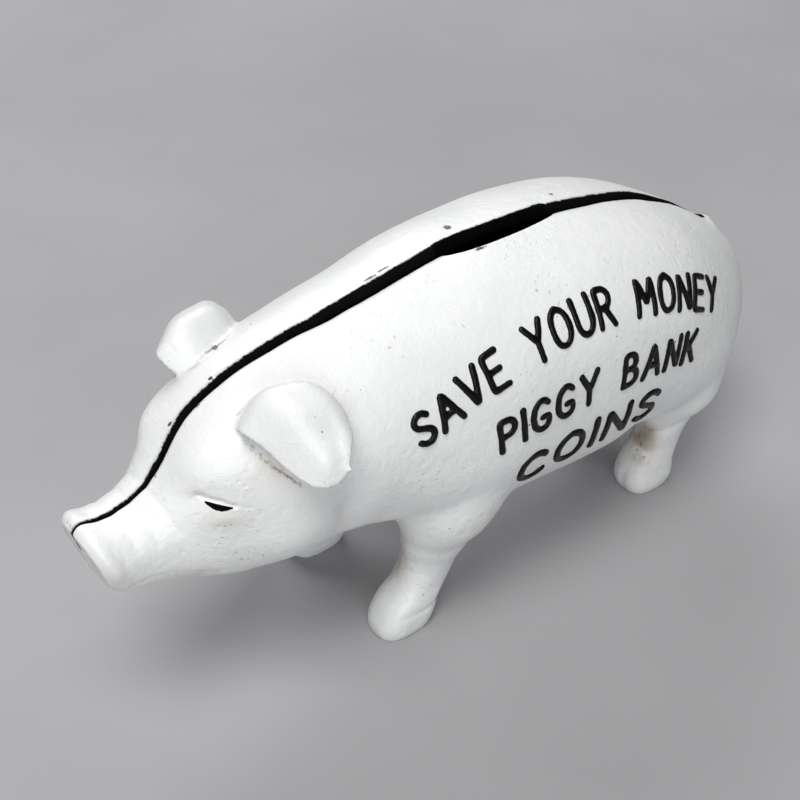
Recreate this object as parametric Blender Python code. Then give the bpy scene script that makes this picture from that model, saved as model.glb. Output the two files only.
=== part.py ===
"""Cast-iron pig money box: two half castings, one through screw and its washer.

Metres, +Z up.  X runs from snout to rump, the halves meet on the plane y = 0,
the left half lies on the -Y side and the soles of the hooves stand on z = 0.
"""
import math

import bmesh
import bpy
from mathutils import Vector

MM = 0.001

# Shell
SEAM_GAP = 0.3 * MM
SEAM_RADIUS = 3.0 * MM
SEAM_DROP = 2.6 * MM
WALL = 4.2 * MM
CUT_OVER = 2.0 * MM
FLANK_STEPS = 16

# Body sections from snout to rump, in millimetres: top x, top z, bottom x,
# bottom z, half width, then how square the upper and the lower half are
BODY = (
    (-140.0, 87.0, -134.5, 66.0, 11.5, 2.4, 2.4),
    (-138.5, 88.8, -132.0, 64.0, 13.5, 2.4, 2.4),
    (-132.0, 88.3, -127.0, 62.0, 14.0, 2.4, 2.4),
    (-124.0, 88.6, -118.0, 59.5, 15.0, 2.4, 2.4),
    (-116.0, 92.0, -108.0, 56.5, 18.0, 2.3, 2.4),
    (-109.0, 99.5, -99.0, 53.0, 22.0, 2.3, 2.4),
    (-101.0, 109.5, -90.0, 51.0, 26.0, 2.3, 2.3),
    (-88.0, 117.5, -78.0, 51.5, 31.0, 2.2, 2.3),
    (-70.0, 122.0, -62.0, 52.0, 35.0, 2.2, 2.3),
    (-49.0, 124.5, -45.0, 48.0, 38.0, 2.3, 2.3),
    (-26.0, 127.5, -24.0, 40.0, 41.5, 2.3, 2.3),
    (-3.0, 130.5, -3.0, 36.0, 44.5, 2.4, 2.3),
    (21.0, 130.0, 21.0, 33.5, 46.0, 2.5, 2.3),
    (44.0, 128.0, 44.0, 32.5, 46.5, 2.6, 2.3),
    (64.0, 124.5, 65.0, 33.0, 46.0, 2.6, 2.3),
    (85.0, 118.0, 85.0, 33.5, 43.5, 2.5, 2.5),
    (102.0, 109.5, 103.0, 34.0, 38.0, 2.3, 2.6),
    (116.0, 101.0, 118.5, 38.0, 31.0, 2.1, 2.7),
    (127.5, 92.0, 131.0, 44.0, 22.5, 2.0, 2.7),
    (136.0, 83.5, 138.0, 52.0, 13.5, 2.0, 2.4),
    (139.5, 77.0, 140.0, 62.0, 6.0, 2.0, 2.0),
)
CAVITY_FIRST = 6
CAVITY_LAST = 17

# Legs: centre x, distance from the seam, z, half length along x, half width
FORE_LEG = (
    (-38.0, 21.8, 0.0, 11.2, 8.2),
    (-37.6, 21.8, 2.5, 11.9, 8.8),
    (-34.7, 21.8, 11.0, 11.6, 8.8),
    (-28.9, 21.8, 18.0, 10.9, 8.2),
    (-24.5, 22.0, 26.0, 10.4, 9.0),
    (-21.5, 23.0, 34.0, 13.0, 11.0),
    (-18.5, 24.5, 44.0, 18.5, 13.5),
    (-15.5, 24.5, 56.0, 22.5, 13.0),
    (-14.0, 22.0, 70.0, 17.0, 8.0),
)
HIND_LEG = (
    (84.8, 22.5, 0.0, 9.8, 7.8),
    (84.8, 22.5, 2.5, 11.0, 8.6),
    (85.3, 22.5, 11.0, 11.0, 8.6),
    (88.5, 22.3, 18.0, 10.4, 8.2),
    (92.0, 22.6, 26.0, 11.0, 9.2),
    (95.0, 23.2, 36.0, 13.0, 11.2),
    (96.0, 24.0, 48.0, 17.5, 13.5),
    (94.0, 23.0, 60.0, 19.0, 12.5),
    (93.0, 21.0, 73.0, 14.0, 8.0),
)
# How much further out the right fore leg stands, at the hoof and at its top
FAR_LEG_SPLAY = (8.5, 3.0)
NO_SPLAY = (0.0, 0.0)
LEG_STEPS = 16
HOOF_TOP = 10.0
LEG_ROUND = 32.0
HOOF_SQUARENESS = 0.72

# Ear ribs from the root out to the tip, in millimetres: front edge, middle of
# the flap and rear edge, each as x, distance from the seam, z
EAR = (
    ((-88.0, 11.0, 106.0), (-77.0, 12.0, 108.0), (-66.0, 17.0, 103.0)),
    ((-93.0, 19.0, 113.5), (-78.5, 17.5, 121.0), (-64.5, 24.0, 111.0)),
    ((-94.0, 23.5, 116.0), (-79.0, 25.0, 127.0), (-65.0, 28.0, 117.0)),
    ((-91.0, 29.0, 113.0), (-78.5, 33.0, 124.5), (-66.0, 35.0, 117.5)),
    ((-87.5, 36.0, 107.0), (-77.5, 39.5, 118.0), (-67.5, 41.5, 113.5)),
    ((-84.5, 41.5, 102.8), (-77.5, 44.5, 112.0), (-69.0, 46.0, 109.5)),
    ((-80.3, 45.5, 103.4), (-77.5, 47.2, 106.8), (-73.5, 47.6, 107.0)),
)
EAR_STEPS = 8
EAR_SQUARENESS = 3.0
EAR_THICKNESS = 4.0
EAR_EDGE = 1.6
EAR_PROBE = 0.1

# Tail cast in relief on the right half: x, distance from the seam, z, radius
TAIL = (
    (129.0, 4.2, 88.0, 3.0),
    (134.0, 4.2, 86.0, 3.2),
    (137.2, 6.0, 80.0, 3.0),
    (137.2, 10.5, 74.0, 2.8),
    (135.0, 14.5, 68.0, 2.6),
    (135.5, 12.5, 61.0, 2.4),
    (136.5, 8.0, 59.5, 2.0),
    (136.0, 4.5, 63.0, 1.5),
)
TAIL_STEPS = 8

# Coin slot
SLOT_START = -3.4 * MM
SLOT_END = 44.0 * MM
SLOT_HALF_WIDTH = 2.9 * MM
SLOT_FLOOR = 112.0 * MM
SLOT_CEILING = 140.0 * MM

# Screw, its bosses and the washer
SCREW_X = 14.0 * MM
SCREW_Z = 74.0 * MM
SCREW_RADIUS = 3.0 * MM
SCREW_CLEARANCE = 0.3 * MM
SCREW_REACH = 15.0 * MM
BORE_DEPTH = 18.0 * MM
HEAD_RADIUS = 5.6 * MM
HEAD_HEIGHT = 3.6 * MM
HEAD_SLOT_WIDTH = 1.6 * MM
HEAD_SLOT_DEPTH = 1.6 * MM
RECESS_RADIUS = 7.2 * MM
RECESS_FLOOR = 37.0 * MM
WASHER_RADIUS = 6.4 * MM
WASHER_HEIGHT = 1.2 * MM
BOSS_RADIUS = 9.5 * MM
BOSS_ROOT_RADIUS = 11.5 * MM
BOSS_ROOT = 41.0 * MM
ROUND_STEPS = 24
SCREW_TIP = 0.8
SCREW_TIP_LENGTH = 0.6 * MM
# Head profile as shares of its height and of its radius
HEAD_PROFILE = ((0.0, 1.0), (0.6, 1.0), (0.9, 0.8), (1.0, 0.45))
SHARP_ANGLE = math.radians(40.0)

# Locating pegs on the right half and sockets in the left half
PEGS = ((-117.0, 77.0), (125.5, 70.0))
PEG_RADIUS = 2.4 * MM
PEG_LENGTH = 3.2 * MM
PEG_ROOT = 4.0 * MM
SOCKET_CLEARANCE = 0.4 * MM
PEG_STEPS = 16
PEG_STRAIGHT = 0.6
PEG_TIP = 0.7


def clear_scene():
    """Remove every object that is already in the scene."""
    for item in list(bpy.data.objects):
        bpy.data.objects.remove(item, do_unlink=True)


def material(name, colour, roughness, metallic):
    """Make a Principled material."""
    made = bpy.data.materials.new(name)
    made.use_nodes = True
    shader = made.node_tree.nodes["Principled BSDF"]
    shader.inputs["Base Color"].default_value = (*colour, 1.0)
    shader.inputs["Roughness"].default_value = roughness
    shader.inputs["Metallic"].default_value = metallic
    return made


def loft(name, rings):
    """Join closed rings of equal length into one capped solid."""
    work = bmesh.new()
    loops = [[work.verts.new(point) for point in ring] for ring in rings]
    count = len(loops[0])
    for before, after in zip(loops, loops[1:]):
        for step in range(count):
            following = (step + 1) % count
            work.faces.new((before[step], before[following], after[following], after[step]))
    work.faces.new(loops[0])
    work.faces.new(loops[-1])
    bmesh.ops.recalc_face_normals(work, faces=work.faces)
    mesh = bpy.data.meshes.new(name)
    work.to_mesh(mesh)
    work.free()
    made = bpy.data.objects.new(name, mesh)
    bpy.context.collection.objects.link(made)
    return made


def flank(row, half_height, half_width, start):
    """Points down the flank, from `start` off the seam and back to it."""
    first = math.asin((start / half_width) ** (row[5] / 2.0))
    last = math.pi - math.asin((start / half_width) ** (row[6] / 2.0))
    points = []
    for step in range(FLANK_STEPS + 1):
        angle = first + (last - first) * step / FLANK_STEPS
        rise = math.cos(angle)
        power = 2.0 / (row[5] if rise > 0.0 else row[6])
        height = math.copysign(abs(rise) ** power, rise) * half_height
        width = math.sin(angle) ** power * half_width
        points.append((height, width))
    return points


def section(row, side, inset, plane, rounded):
    """Return the closed half section of the body on one side of the seam."""
    top = Vector((row[0], 0.0, row[1])) * MM
    bottom = Vector((row[2], 0.0, row[3])) * MM
    along = (bottom - top).normalized()
    top += along * inset
    bottom -= along * inset
    half_height = (bottom - top).length / 2.0
    middle = (top + bottom) / 2.0
    half_width = row[4] * MM - inset
    start = plane + SEAM_RADIUS if rounded else SEAM_GAP
    outline = flank(row, half_height, half_width, start)
    if rounded:
        share = 1.0 - math.sqrt(0.5)
        out = plane + share * SEAM_RADIUS
        rim = half_height - share * SEAM_DROP
        outline = [(rim, out)] + outline + [(-rim, out)]
        rim = half_height - SEAM_DROP
    else:
        rim = half_height
    outline = [(rim, plane)] + outline + [(-rim, plane)]
    return [middle - along * height + Vector((0.0, side * width, 0.0)) for height, width in outline]


def body_loft(name, side):
    """Solid half of the body and head."""
    return loft(name, [section(row, side, 0.0, SEAM_GAP / 2.0, True) for row in BODY])


def cavity_loft(name, side):
    """Hollow of one half, run past the seam so the shell opens there."""
    rows = BODY[CAVITY_FIRST:CAVITY_LAST]
    return loft(name, [section(row, side, WALL, -CUT_OVER, False) for row in rows])


def squared(wave, height):
    """Sine or cosine flattened towards a squarer outline near the hoof."""
    share = min(max((height - HOOF_TOP) / (LEG_ROUND - HOOF_TOP), 0.0), 1.0)
    power = HOOF_SQUARENESS + (1.0 - HOOF_SQUARENESS) * share
    return math.copysign(abs(wave) ** power, wave)


def leg_loft(name, rows, side, splay):
    """Solid leg from the flat sole up into the body; splay moves hoof and top outwards."""
    rings = []
    for centre, offset, height, length, width in rows:
        share = height / rows[-1][2]
        offset += splay[0] * (1.0 - share) + splay[1] * share
        ring = []
        for step in range(LEG_STEPS):
            angle = 2.0 * math.pi * step / LEG_STEPS
            x = centre + length * squared(math.cos(angle), height)
            y = side * (offset + width * squared(math.sin(angle), height))
            ring.append(Vector((x, y, height)) * MM)
        rings.append(ring)
    return loft(name, rings)


def ear_point(rib, share):
    """Point on a rib; share runs from the front edge (0) to the rear edge (1)."""
    front, middle, rear = (Vector(point) for point in rib)
    lift = middle - (front + rear) / 2.0
    arch = 1.0 - abs(2.0 * share - 1.0) ** EAR_SQUARENESS
    return front * (1.0 - share) + rear * share + lift * arch


def ear_loft(name, side):
    """Solid ear flap from inside the head out to its tip."""
    rings = []
    for number, rib in enumerate(EAR):
        before = EAR[max(number - 1, 0)]
        after = EAR[min(number + 1, len(EAR) - 1)]
        upper = []
        lower = []
        for step in range(EAR_STEPS + 1):
            share = 0.5 - 0.5 * math.cos(math.pi * step / EAR_STEPS)
            spot = ear_point(rib, share)
            outward = ear_point(after, share) - ear_point(before, share)
            ahead = min(share + EAR_PROBE, 1.0)
            behind = max(share - EAR_PROBE, 0.0)
            across = ear_point(rib, ahead) - ear_point(rib, behind)
            normal = across.cross(outward).normalized()
            depth = EAR_EDGE + (EAR_THICKNESS - EAR_EDGE) * 4.0 * share * (1.0 - share)
            upper.append(spot)
            lower.append(spot - normal * depth)
        ring = upper + lower[::-1]
        rings.append([Vector((point.x, side * point.y, point.z)) * MM for point in ring])
    return loft(name, rings)


def tail_loft(name):
    """Solid tail that runs over the rump of the right half."""
    path = [Vector(row[:3]) for row in TAIL]
    rings = []
    for number, row in enumerate(TAIL):
        before = path[max(number - 1, 0)]
        after = path[min(number + 1, len(path) - 1)]
        forward = (after - before).normalized()
        out = Vector((1.0, 0.0, 0.0))
        out = (out - forward * out.dot(forward)).normalized()
        across = forward.cross(out)
        ring = []
        for step in range(TAIL_STEPS):
            angle = 2.0 * math.pi * step / TAIL_STEPS
            offset = out * math.cos(angle) + across * math.sin(angle)
            ring.append((path[number] + offset * row[3]) * MM)
        rings.append(ring)
    return loft(name, rings)


def rod(name, x, z, stations, steps):
    """Turned solid along Y; stations are pairs of y and radius."""
    rings = []
    for y, radius in stations:
        ring = []
        for step in range(steps):
            angle = 2.0 * math.pi * (step + 0.5) / steps
            ring.append(Vector((x + radius * math.cos(angle), y, z + radius * math.sin(angle))))
        rings.append(ring)
    return loft(name, rings)


def block(name, low, high):
    """Box between two corners."""
    rings = []
    for z in (low[2], high[2]):
        corners = ((low[0], low[1]), (high[0], low[1]), (high[0], high[1]), (low[0], high[1]))
        rings.append([Vector((x, y, z)) for x, y in corners])
    return loft(name, rings)


def combine(target, other, operation):
    """Apply one exact Boolean and remove the other body."""
    step = target.modifiers.new(operation.lower(), "BOOLEAN")
    step.object = other
    step.operation = operation
    step.solver = "EXACT"
    bpy.context.view_layer.update()
    graph = bpy.context.evaluated_depsgraph_get()
    mesh = bpy.data.meshes.new_from_object(target.evaluated_get(graph))
    target.modifiers.clear()
    target.data = mesh
    bpy.data.objects.remove(other, do_unlink=True)


def finish(made, look):
    """Give the body its material and its shading."""
    made.data.materials.clear()
    made.data.materials.append(look)
    for face in made.data.polygons:
        face.material_index = 0
    made.data.shade_smooth()
    made.data.set_sharp_from_angle(angle=SHARP_ANGLE)


def move_origin(made, point):
    """Place the origin of the body on its axis without moving the body."""
    for vertex in made.data.vertices:
        vertex.co -= point
    made.location = point


def half_casting(name, side, splay):
    """One half of the shell with its ear, legs, boss and slot recess."""
    half = body_loft(name, side)
    combine(half, leg_loft("fore_leg", FORE_LEG, side, splay), "UNION")
    combine(half, leg_loft("hind_leg", HIND_LEG, side, NO_SPLAY), "UNION")
    combine(half, ear_loft("ear", side), "UNION")
    combine(half, cavity_loft("cavity", side), "DIFFERENCE")
    boss = ((side * SEAM_GAP / 2.0, BOSS_RADIUS), (side * BOSS_ROOT, BOSS_ROOT_RADIUS))
    combine(half, rod("boss", SCREW_X, SCREW_Z, boss, ROUND_STEPS), "UNION")
    slot_low = (SLOT_START, -SLOT_HALF_WIDTH, SLOT_FLOOR)
    slot_high = (SLOT_END, SLOT_HALF_WIDTH, SLOT_CEILING)
    combine(half, block("slot", slot_low, slot_high), "DIFFERENCE")
    return half


def left_half(look):
    """Root half with the blind screw bore and the peg sockets."""
    half = half_casting("left_half_casting", -1.0, NO_SPLAY)
    bore = SCREW_RADIUS + SCREW_CLEARANCE
    stations = ((CUT_OVER, bore), (-BORE_DEPTH, bore))
    combine(half, rod("bore", SCREW_X, SCREW_Z, stations, ROUND_STEPS), "DIFFERENCE")
    for x, z in PEGS:
        radius = PEG_RADIUS + SOCKET_CLEARANCE
        stations = ((CUT_OVER, radius), (-PEG_LENGTH - SOCKET_CLEARANCE, radius))
        combine(half, rod("socket", x * MM, z * MM, stations, PEG_STEPS), "DIFFERENCE")
    finish(half, look)
    return half


def right_half(look):
    """Half with the through bore, the head recess and the pegs."""
    half = half_casting("right_half_casting", 1.0, FAR_LEG_SPLAY)
    combine(half, tail_loft("tail"), "UNION")
    bore = SCREW_RADIUS + SCREW_CLEARANCE
    stations = ((-CUT_OVER, bore), (RECESS_FLOOR + CUT_OVER, bore))
    combine(half, rod("bore", SCREW_X, SCREW_Z, stations, ROUND_STEPS), "DIFFERENCE")
    stations = ((RECESS_FLOOR, RECESS_RADIUS), (RECESS_FLOOR + BOSS_ROOT, RECESS_RADIUS))
    combine(half, rod("recess", SCREW_X, SCREW_Z, stations, ROUND_STEPS), "DIFFERENCE")
    for x, z in PEGS:
        tip = (-PEG_LENGTH, PEG_RADIUS * PEG_TIP)
        stations = ((PEG_ROOT, PEG_RADIUS), (-PEG_LENGTH * PEG_STRAIGHT, PEG_RADIUS), tip)
        combine(half, rod("peg", x * MM, z * MM, stations, PEG_STEPS), "UNION")
    finish(half, look)
    move_origin(half, Vector((SCREW_X, 0.0, SCREW_Z)))
    return half


def washer(look):
    """Plain washer lying in the head recess."""
    low = RECESS_FLOOR + SCREW_CLEARANCE
    high = low + WASHER_HEIGHT
    stations = ((low, WASHER_RADIUS), (high, WASHER_RADIUS))
    made = rod("screw_washer", SCREW_X, SCREW_Z, stations, ROUND_STEPS)
    hole = SCREW_RADIUS + SCREW_CLEARANCE
    stations = ((low - CUT_OVER, hole), (high + CUT_OVER, hole))
    combine(made, rod("hole", SCREW_X, SCREW_Z, stations, ROUND_STEPS), "DIFFERENCE")
    finish(made, look)
    move_origin(made, Vector((SCREW_X, low, SCREW_Z)))
    return made


def screw(look):
    """Slotted machine screw that clamps the halves together."""
    seat = RECESS_FLOOR + WASHER_HEIGHT + 2.0 * SCREW_CLEARANCE
    stations = (
        (-SCREW_REACH, SCREW_RADIUS * SCREW_TIP),
        (-SCREW_REACH + SCREW_TIP_LENGTH, SCREW_RADIUS),
        (seat, SCREW_RADIUS),
    )
    stations += tuple((seat + HEAD_HEIGHT * up, HEAD_RADIUS * out) for up, out in HEAD_PROFILE)
    made = rod("body_screw", SCREW_X, SCREW_Z, stations, ROUND_STEPS)
    top = seat + HEAD_HEIGHT
    reach = HEAD_RADIUS + CUT_OVER
    low = (SCREW_X - reach, top - HEAD_SLOT_DEPTH, SCREW_Z - HEAD_SLOT_WIDTH / 2.0)
    high = (SCREW_X + reach, top + CUT_OVER, SCREW_Z + HEAD_SLOT_WIDTH / 2.0)
    combine(made, block("driver_slot", low, high), "DIFFERENCE")
    finish(made, look)
    move_origin(made, Vector((SCREW_X, seat, SCREW_Z)))
    return made


clear_scene()
left_half(material("left_enamel", (0.86, 0.86, 0.84), 0.32, 0.0))
right_half(material("right_enamel", (0.85, 0.85, 0.83), 0.32, 0.0))
washer(material("washer_steel", (0.42, 0.41, 0.39), 0.42, 1.0))
screw(material("screw_steel", (0.36, 0.35, 0.33), 0.4, 1.0))
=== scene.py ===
"""Looks of the pig money box: fine enamelled castings, screw and washer on the CAD frame.

The shapes are worked in millimetres and scaled to metres when a mesh is made.  X runs from
snout to rump, the left half lies on the -Y side of the seam and z = 0 is the ground.
"""
import math

import bmesh
import bpy
import numpy as np
from mathutils import Matrix, Vector
from mathutils.bvhtree import BVHTree


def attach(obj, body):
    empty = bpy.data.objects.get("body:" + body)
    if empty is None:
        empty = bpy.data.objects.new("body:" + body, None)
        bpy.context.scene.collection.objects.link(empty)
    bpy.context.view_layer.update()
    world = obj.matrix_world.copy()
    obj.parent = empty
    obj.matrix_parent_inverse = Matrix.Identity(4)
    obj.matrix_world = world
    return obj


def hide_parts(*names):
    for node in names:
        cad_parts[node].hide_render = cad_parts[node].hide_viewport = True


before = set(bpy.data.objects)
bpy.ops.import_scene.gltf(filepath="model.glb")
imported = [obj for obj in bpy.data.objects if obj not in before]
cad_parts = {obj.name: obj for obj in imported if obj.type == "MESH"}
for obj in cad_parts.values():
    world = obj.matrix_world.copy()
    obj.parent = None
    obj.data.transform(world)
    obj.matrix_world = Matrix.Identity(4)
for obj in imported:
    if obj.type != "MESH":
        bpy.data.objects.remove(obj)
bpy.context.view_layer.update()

MM = 0.001
# Sides of the seam as the sign of y
LEFT = -1.0
RIGHT = 1.0

# ------------------------------------------------------------------ driving shapes, millimetres

# Body sections from snout to rump: top x, top z, bottom x, bottom z, half width,
# then how square the upper and the lower half are
BODY = (
    (-140.0, 87.0, -134.5, 66.0, 11.5, 2.4, 2.4),
    (-138.5, 88.8, -132.0, 64.0, 13.5, 2.4, 2.4),
    (-132.0, 88.3, -127.0, 62.0, 14.0, 2.4, 2.4),
    (-124.0, 88.6, -118.0, 59.5, 15.0, 2.4, 2.4),
    (-116.0, 92.0, -108.0, 56.5, 18.0, 2.3, 2.4),
    (-109.0, 99.5, -99.0, 53.0, 22.0, 2.3, 2.4),
    (-101.0, 109.5, -90.0, 51.0, 26.0, 2.3, 2.3),
    (-88.0, 117.5, -78.0, 51.5, 31.0, 2.2, 2.3),
    (-70.0, 122.0, -62.0, 52.0, 35.0, 2.2, 2.3),
    (-49.0, 124.5, -45.0, 48.0, 38.0, 2.3, 2.3),
    (-26.0, 127.5, -24.0, 40.0, 41.5, 2.3, 2.3),
    (-3.0, 130.3, -3.0, 36.0, 44.5, 2.4, 2.3),
    (21.0, 129.8, 21.0, 33.5, 46.0, 2.5, 2.3),
    (44.0, 128.0, 44.0, 32.5, 46.5, 2.6, 2.3),
    (64.0, 124.5, 65.0, 33.0, 46.0, 2.6, 2.3),
    (85.0, 118.0, 85.0, 33.5, 43.5, 2.5, 2.5),
    (102.0, 109.5, 103.0, 34.0, 38.0, 2.3, 2.6),
    (116.0, 101.0, 118.5, 38.0, 31.0, 2.1, 2.7),
    (127.5, 92.0, 131.0, 44.0, 22.5, 2.0, 2.7),
    (136.0, 83.5, 138.0, 52.0, 13.5, 2.0, 2.4),
    (139.5, 77.0, 140.0, 62.0, 6.0, 2.0, 2.0),
)
CAVITY_ROWS = BODY[6:17]
WALL = 4.2

# Legs: centre x, distance from the seam, z, half length along x, half width
FORE_LEG = (
    (-36.9, 21.8, 0.0, 10.8, 8.2),
    (-36.5, 21.8, 2.5, 11.5, 8.8),
    (-33.4, 21.8, 11.0, 11.2, 8.8),
    (-27.8, 21.8, 18.0, 10.4, 8.2),
    (-23.8, 22.0, 26.0, 10.4, 9.0),
    (-21.5, 23.0, 34.0, 13.6, 11.2),
    (-18.5, 24.5, 44.0, 18.5, 14.0),
    (-15.5, 26.0, 56.0, 22.5, 14.8),
    (-14.0, 24.0, 70.0, 19.0, 15.0),
)
HIND_LEG = (
    (84.8, 22.5, 0.0, 9.8, 7.8),
    (84.8, 22.5, 2.5, 11.0, 8.6),
    (85.3, 22.5, 11.0, 11.0, 8.6),
    (88.5, 22.3, 18.0, 10.4, 8.2),
    (91.4, 22.6, 26.0, 10.2, 8.6),
    (94.0, 23.2, 36.0, 12.0, 10.6),
    (96.0, 24.0, 48.0, 17.5, 13.5),
    (94.0, 23.0, 60.0, 19.0, 12.5),
    (93.0, 21.0, 73.0, 14.0, 8.0),
)
# Width of the rounded edge along the seam at places along x
LEFT_EDGE_X = (-140.0, -132.0, -118.0, -110.0, -100.0, -88.0, -60.0, -48.0, 0.0, 60.0, 90.0, 105.0, 130.0)
LEFT_EDGE = (0.6, 2.0, 1.8, 3.2, 2.6, 3.6, 4.2, 5.6, 6.4, 7.0, 6.0, 3.0, 2.0)
RIGHT_EDGE_X = (-134.0, -118.0, -100.0, -60.0, 60.0, 120.0)
RIGHT_EDGE = (0.8, 1.4, 2.2, 3.0, 3.2, 2.2)
# How far that edge falls away, as a share of its width
LEFT_FALL = 1.0
RIGHT_FALL = 1.25

# Distances from the seam at which the skin gets an extra row of edges
SEAM_CUTS = (6.0, 4.8, 3.8, 3.0, 2.4, 1.8, 1.3, 0.8, 0.4)

# How far the right fore leg stands out further than the left one: at the hoof and at its top
FAR_LEG_SPLAY = (8.5, 3.0)
NO_SPLAY = (0.0, 0.0)

# Ear ribs from the root out to the tip: front edge, middle and rear edge as x, off the seam, z
EAR = (
    ((-88.0, 11.0, 106.0), (-77.0, 12.0, 108.0), (-66.0, 17.0, 103.0)),
    ((-93.0, 19.0, 113.5), (-78.5, 17.5, 121.0), (-64.5, 24.0, 111.0)),
    ((-94.0, 23.5, 116.0), (-79.0, 25.0, 127.0), (-65.5, 28.0, 117.0)),
    ((-91.0, 29.0, 113.0), (-78.5, 33.0, 124.5), (-67.0, 35.0, 118.0)),
    ((-87.5, 36.0, 107.0), (-77.5, 39.5, 118.0), (-68.5, 41.0, 114.2)),
    ((-83.8, 42.5, 103.6), (-77.5, 44.5, 112.3), (-71.3, 45.0, 111.8)),
    ((-80.6, 45.2, 103.0), (-76.2, 46.9, 103.8), (-73.6, 46.6, 107.8)),
)
FAR_EAR_SAG = 3.5
EAR_THICKNESS = 4.0
EAR_EDGE = 1.8
EAR_SQUARENESS = 3.0

# Tail on the right half: x, distance from the seam, z, radius
TAIL = (
    (129.0, 4.2, 88.0, 3.0),
    (133.8, 4.2, 86.0, 3.2),
    (137.0, 6.0, 80.0, 3.0),
    (137.0, 10.5, 74.0, 2.8),
    (134.8, 14.5, 68.0, 2.6),
    (135.2, 12.5, 61.0, 2.4),
    (136.2, 8.0, 59.5, 2.0),
    (135.8, 4.5, 63.0, 1.5),
)

# Everything this near to the tail's middle line is the tail
TAIL_REACH = 4.2

SEAM_GAP = 0.3
OVERRUN = 4.0
SLOT_START = -3.4
SLOT_END = 44.0
# Slot sections: height, width cut into the left and into the right half, extra length at each end
SLOT_RINGS = (
    (104.0, 2.9, 2.5, 0.0),
    (119.0, 3.4, 2.5, 0.0),
    (125.0, 4.6, 2.6, 0.3),
    (127.0, 5.7, 2.7, 0.6),
    (129.0, 6.9, 2.9, 1.0),
    (130.2, 7.6, 3.1, 1.6),
    (140.0, 8.4, 3.3, 2.0),
)
SLOT_STEPS = 96
SLOT_END_POWER = 0.9
LEFT_SLOT_POWER = 0.5
RIGHT_SLOT_POWER = 0.34

SCREW_X = 14.0
SCREW_Z = 74.0
SCREW_RADIUS = 3.0
THREAD_PITCH = 1.0
THREAD_DEPTH = 0.55
THREAD_LENGTH = 22.0
SCREW_CLEARANCE = 0.3
SCREW_REACH = 15.0
BORE_DEPTH = 18.0
HEAD_RADIUS = 5.6
HEAD_HEIGHT = 3.6
HEAD_SLOT_WIDTH = 1.6
HEAD_SLOT_DEPTH = 1.6
RECESS_RADIUS = 7.2
RECESS_FLOOR = 37.0
WASHER_RADIUS = 6.4
WASHER_HEIGHT = 1.2
BOSS_RADIUS = 9.5
BOSS_ROOT_RADIUS = 11.5
BOSS_ROOT = 41.0
PEGS = ((-117.0, 77.0), (125.5, 70.0))
PEG_RADIUS = 2.4
PEG_LENGTH = 3.2
SOCKET_CLEARANCE = 0.4

HALF_SMOOTH_ANGLE = 50.0
LETTER_SMOOTH_ANGLE = 80.0
WASHER_SMOOTH_ANGLE = 35.0
SCREW_SMOOTH_ANGLE = 38.0

VOXEL = 0.62
LETTER_VOXEL = 0.32


# ------------------------------------------------------------------ mesh helpers


def mesh_object(name, points, faces):
    """New object from points in millimetres."""
    mesh = bpy.data.meshes.new(name)
    mesh.from_pydata([tuple(point) for point in np.asarray(points) * MM], [], faces)
    mesh.validate()
    made = bpy.data.objects.new(name, mesh)
    bpy.context.scene.collection.objects.link(made)
    work = bmesh.new()
    work.from_mesh(mesh)
    bmesh.ops.recalc_face_normals(work, faces=work.faces)
    work.to_mesh(mesh)
    work.free()
    return made


def loft(name, rings):
    """Closed solid through rings of equal length, capped at both ends."""
    rings = [np.asarray(ring) for ring in rings]
    count = len(rings[0])
    faces = []
    for number in range(len(rings) - 1):
        low = number * count
        high = low + count
        for step in range(count):
            following = (step + 1) % count
            faces.append((low + step, low + following, high + following, high + step))
    faces.append(tuple(range(count)))
    faces.append(tuple(range((len(rings) - 1) * count, len(rings) * count)))
    return mesh_object(name, np.concatenate(rings), faces)


def remove(*items):
    """Delete helper objects."""
    for item in items:
        bpy.data.objects.remove(item, do_unlink=True)


def bake_modifier(target, kind, **settings):
    """Run one modifier and keep its result as the mesh."""
    step = target.modifiers.new(kind.lower(), kind)
    for key, value in settings.items():
        setattr(step, key, value)
    bpy.context.view_layer.update()
    graph = bpy.context.evaluated_depsgraph_get()
    mesh = bpy.data.meshes.new_from_object(target.evaluated_get(graph))
    target.modifiers.clear()
    target.data = mesh


def combine(target, other, operation):
    """Boolean of two closed bodies; the second one is used up."""
    bake_modifier(target, "BOOLEAN", object=other, operation=operation, solver="MANIFOLD")
    remove(other)


def merge(name, items):
    """Put several objects into one mesh."""
    work = bmesh.new()
    for item in items:
        work.from_mesh(item.data)
    mesh = bpy.data.meshes.new(name)
    work.to_mesh(mesh)
    work.free()
    remove(*items)
    made = bpy.data.objects.new(name, mesh)
    bpy.context.scene.collection.objects.link(made)
    return made


def points_of(target):
    """Vertex places in millimetres."""
    data = np.empty(len(target.data.vertices) * 3)
    target.data.vertices.foreach_get("co", data)
    return data.reshape(-1, 3) / MM


def place_points(target, points):
    """Write vertex places given in millimetres."""
    target.data.vertices.foreach_set("co", (points * MM).ravel())
    target.data.update()


def normals_of(target):
    """Vertex normals."""
    data = np.empty(len(target.data.vertices) * 3)
    target.data.vertex_normals.foreach_get("vector", data)
    return data.reshape(-1, 3)


def edges_of(target):
    """Vertex numbers of each edge."""
    data = np.empty(len(target.data.edges) * 2, np.int32)
    target.data.edges.foreach_get("vertices", data)
    return data.reshape(-1, 2)


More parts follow.
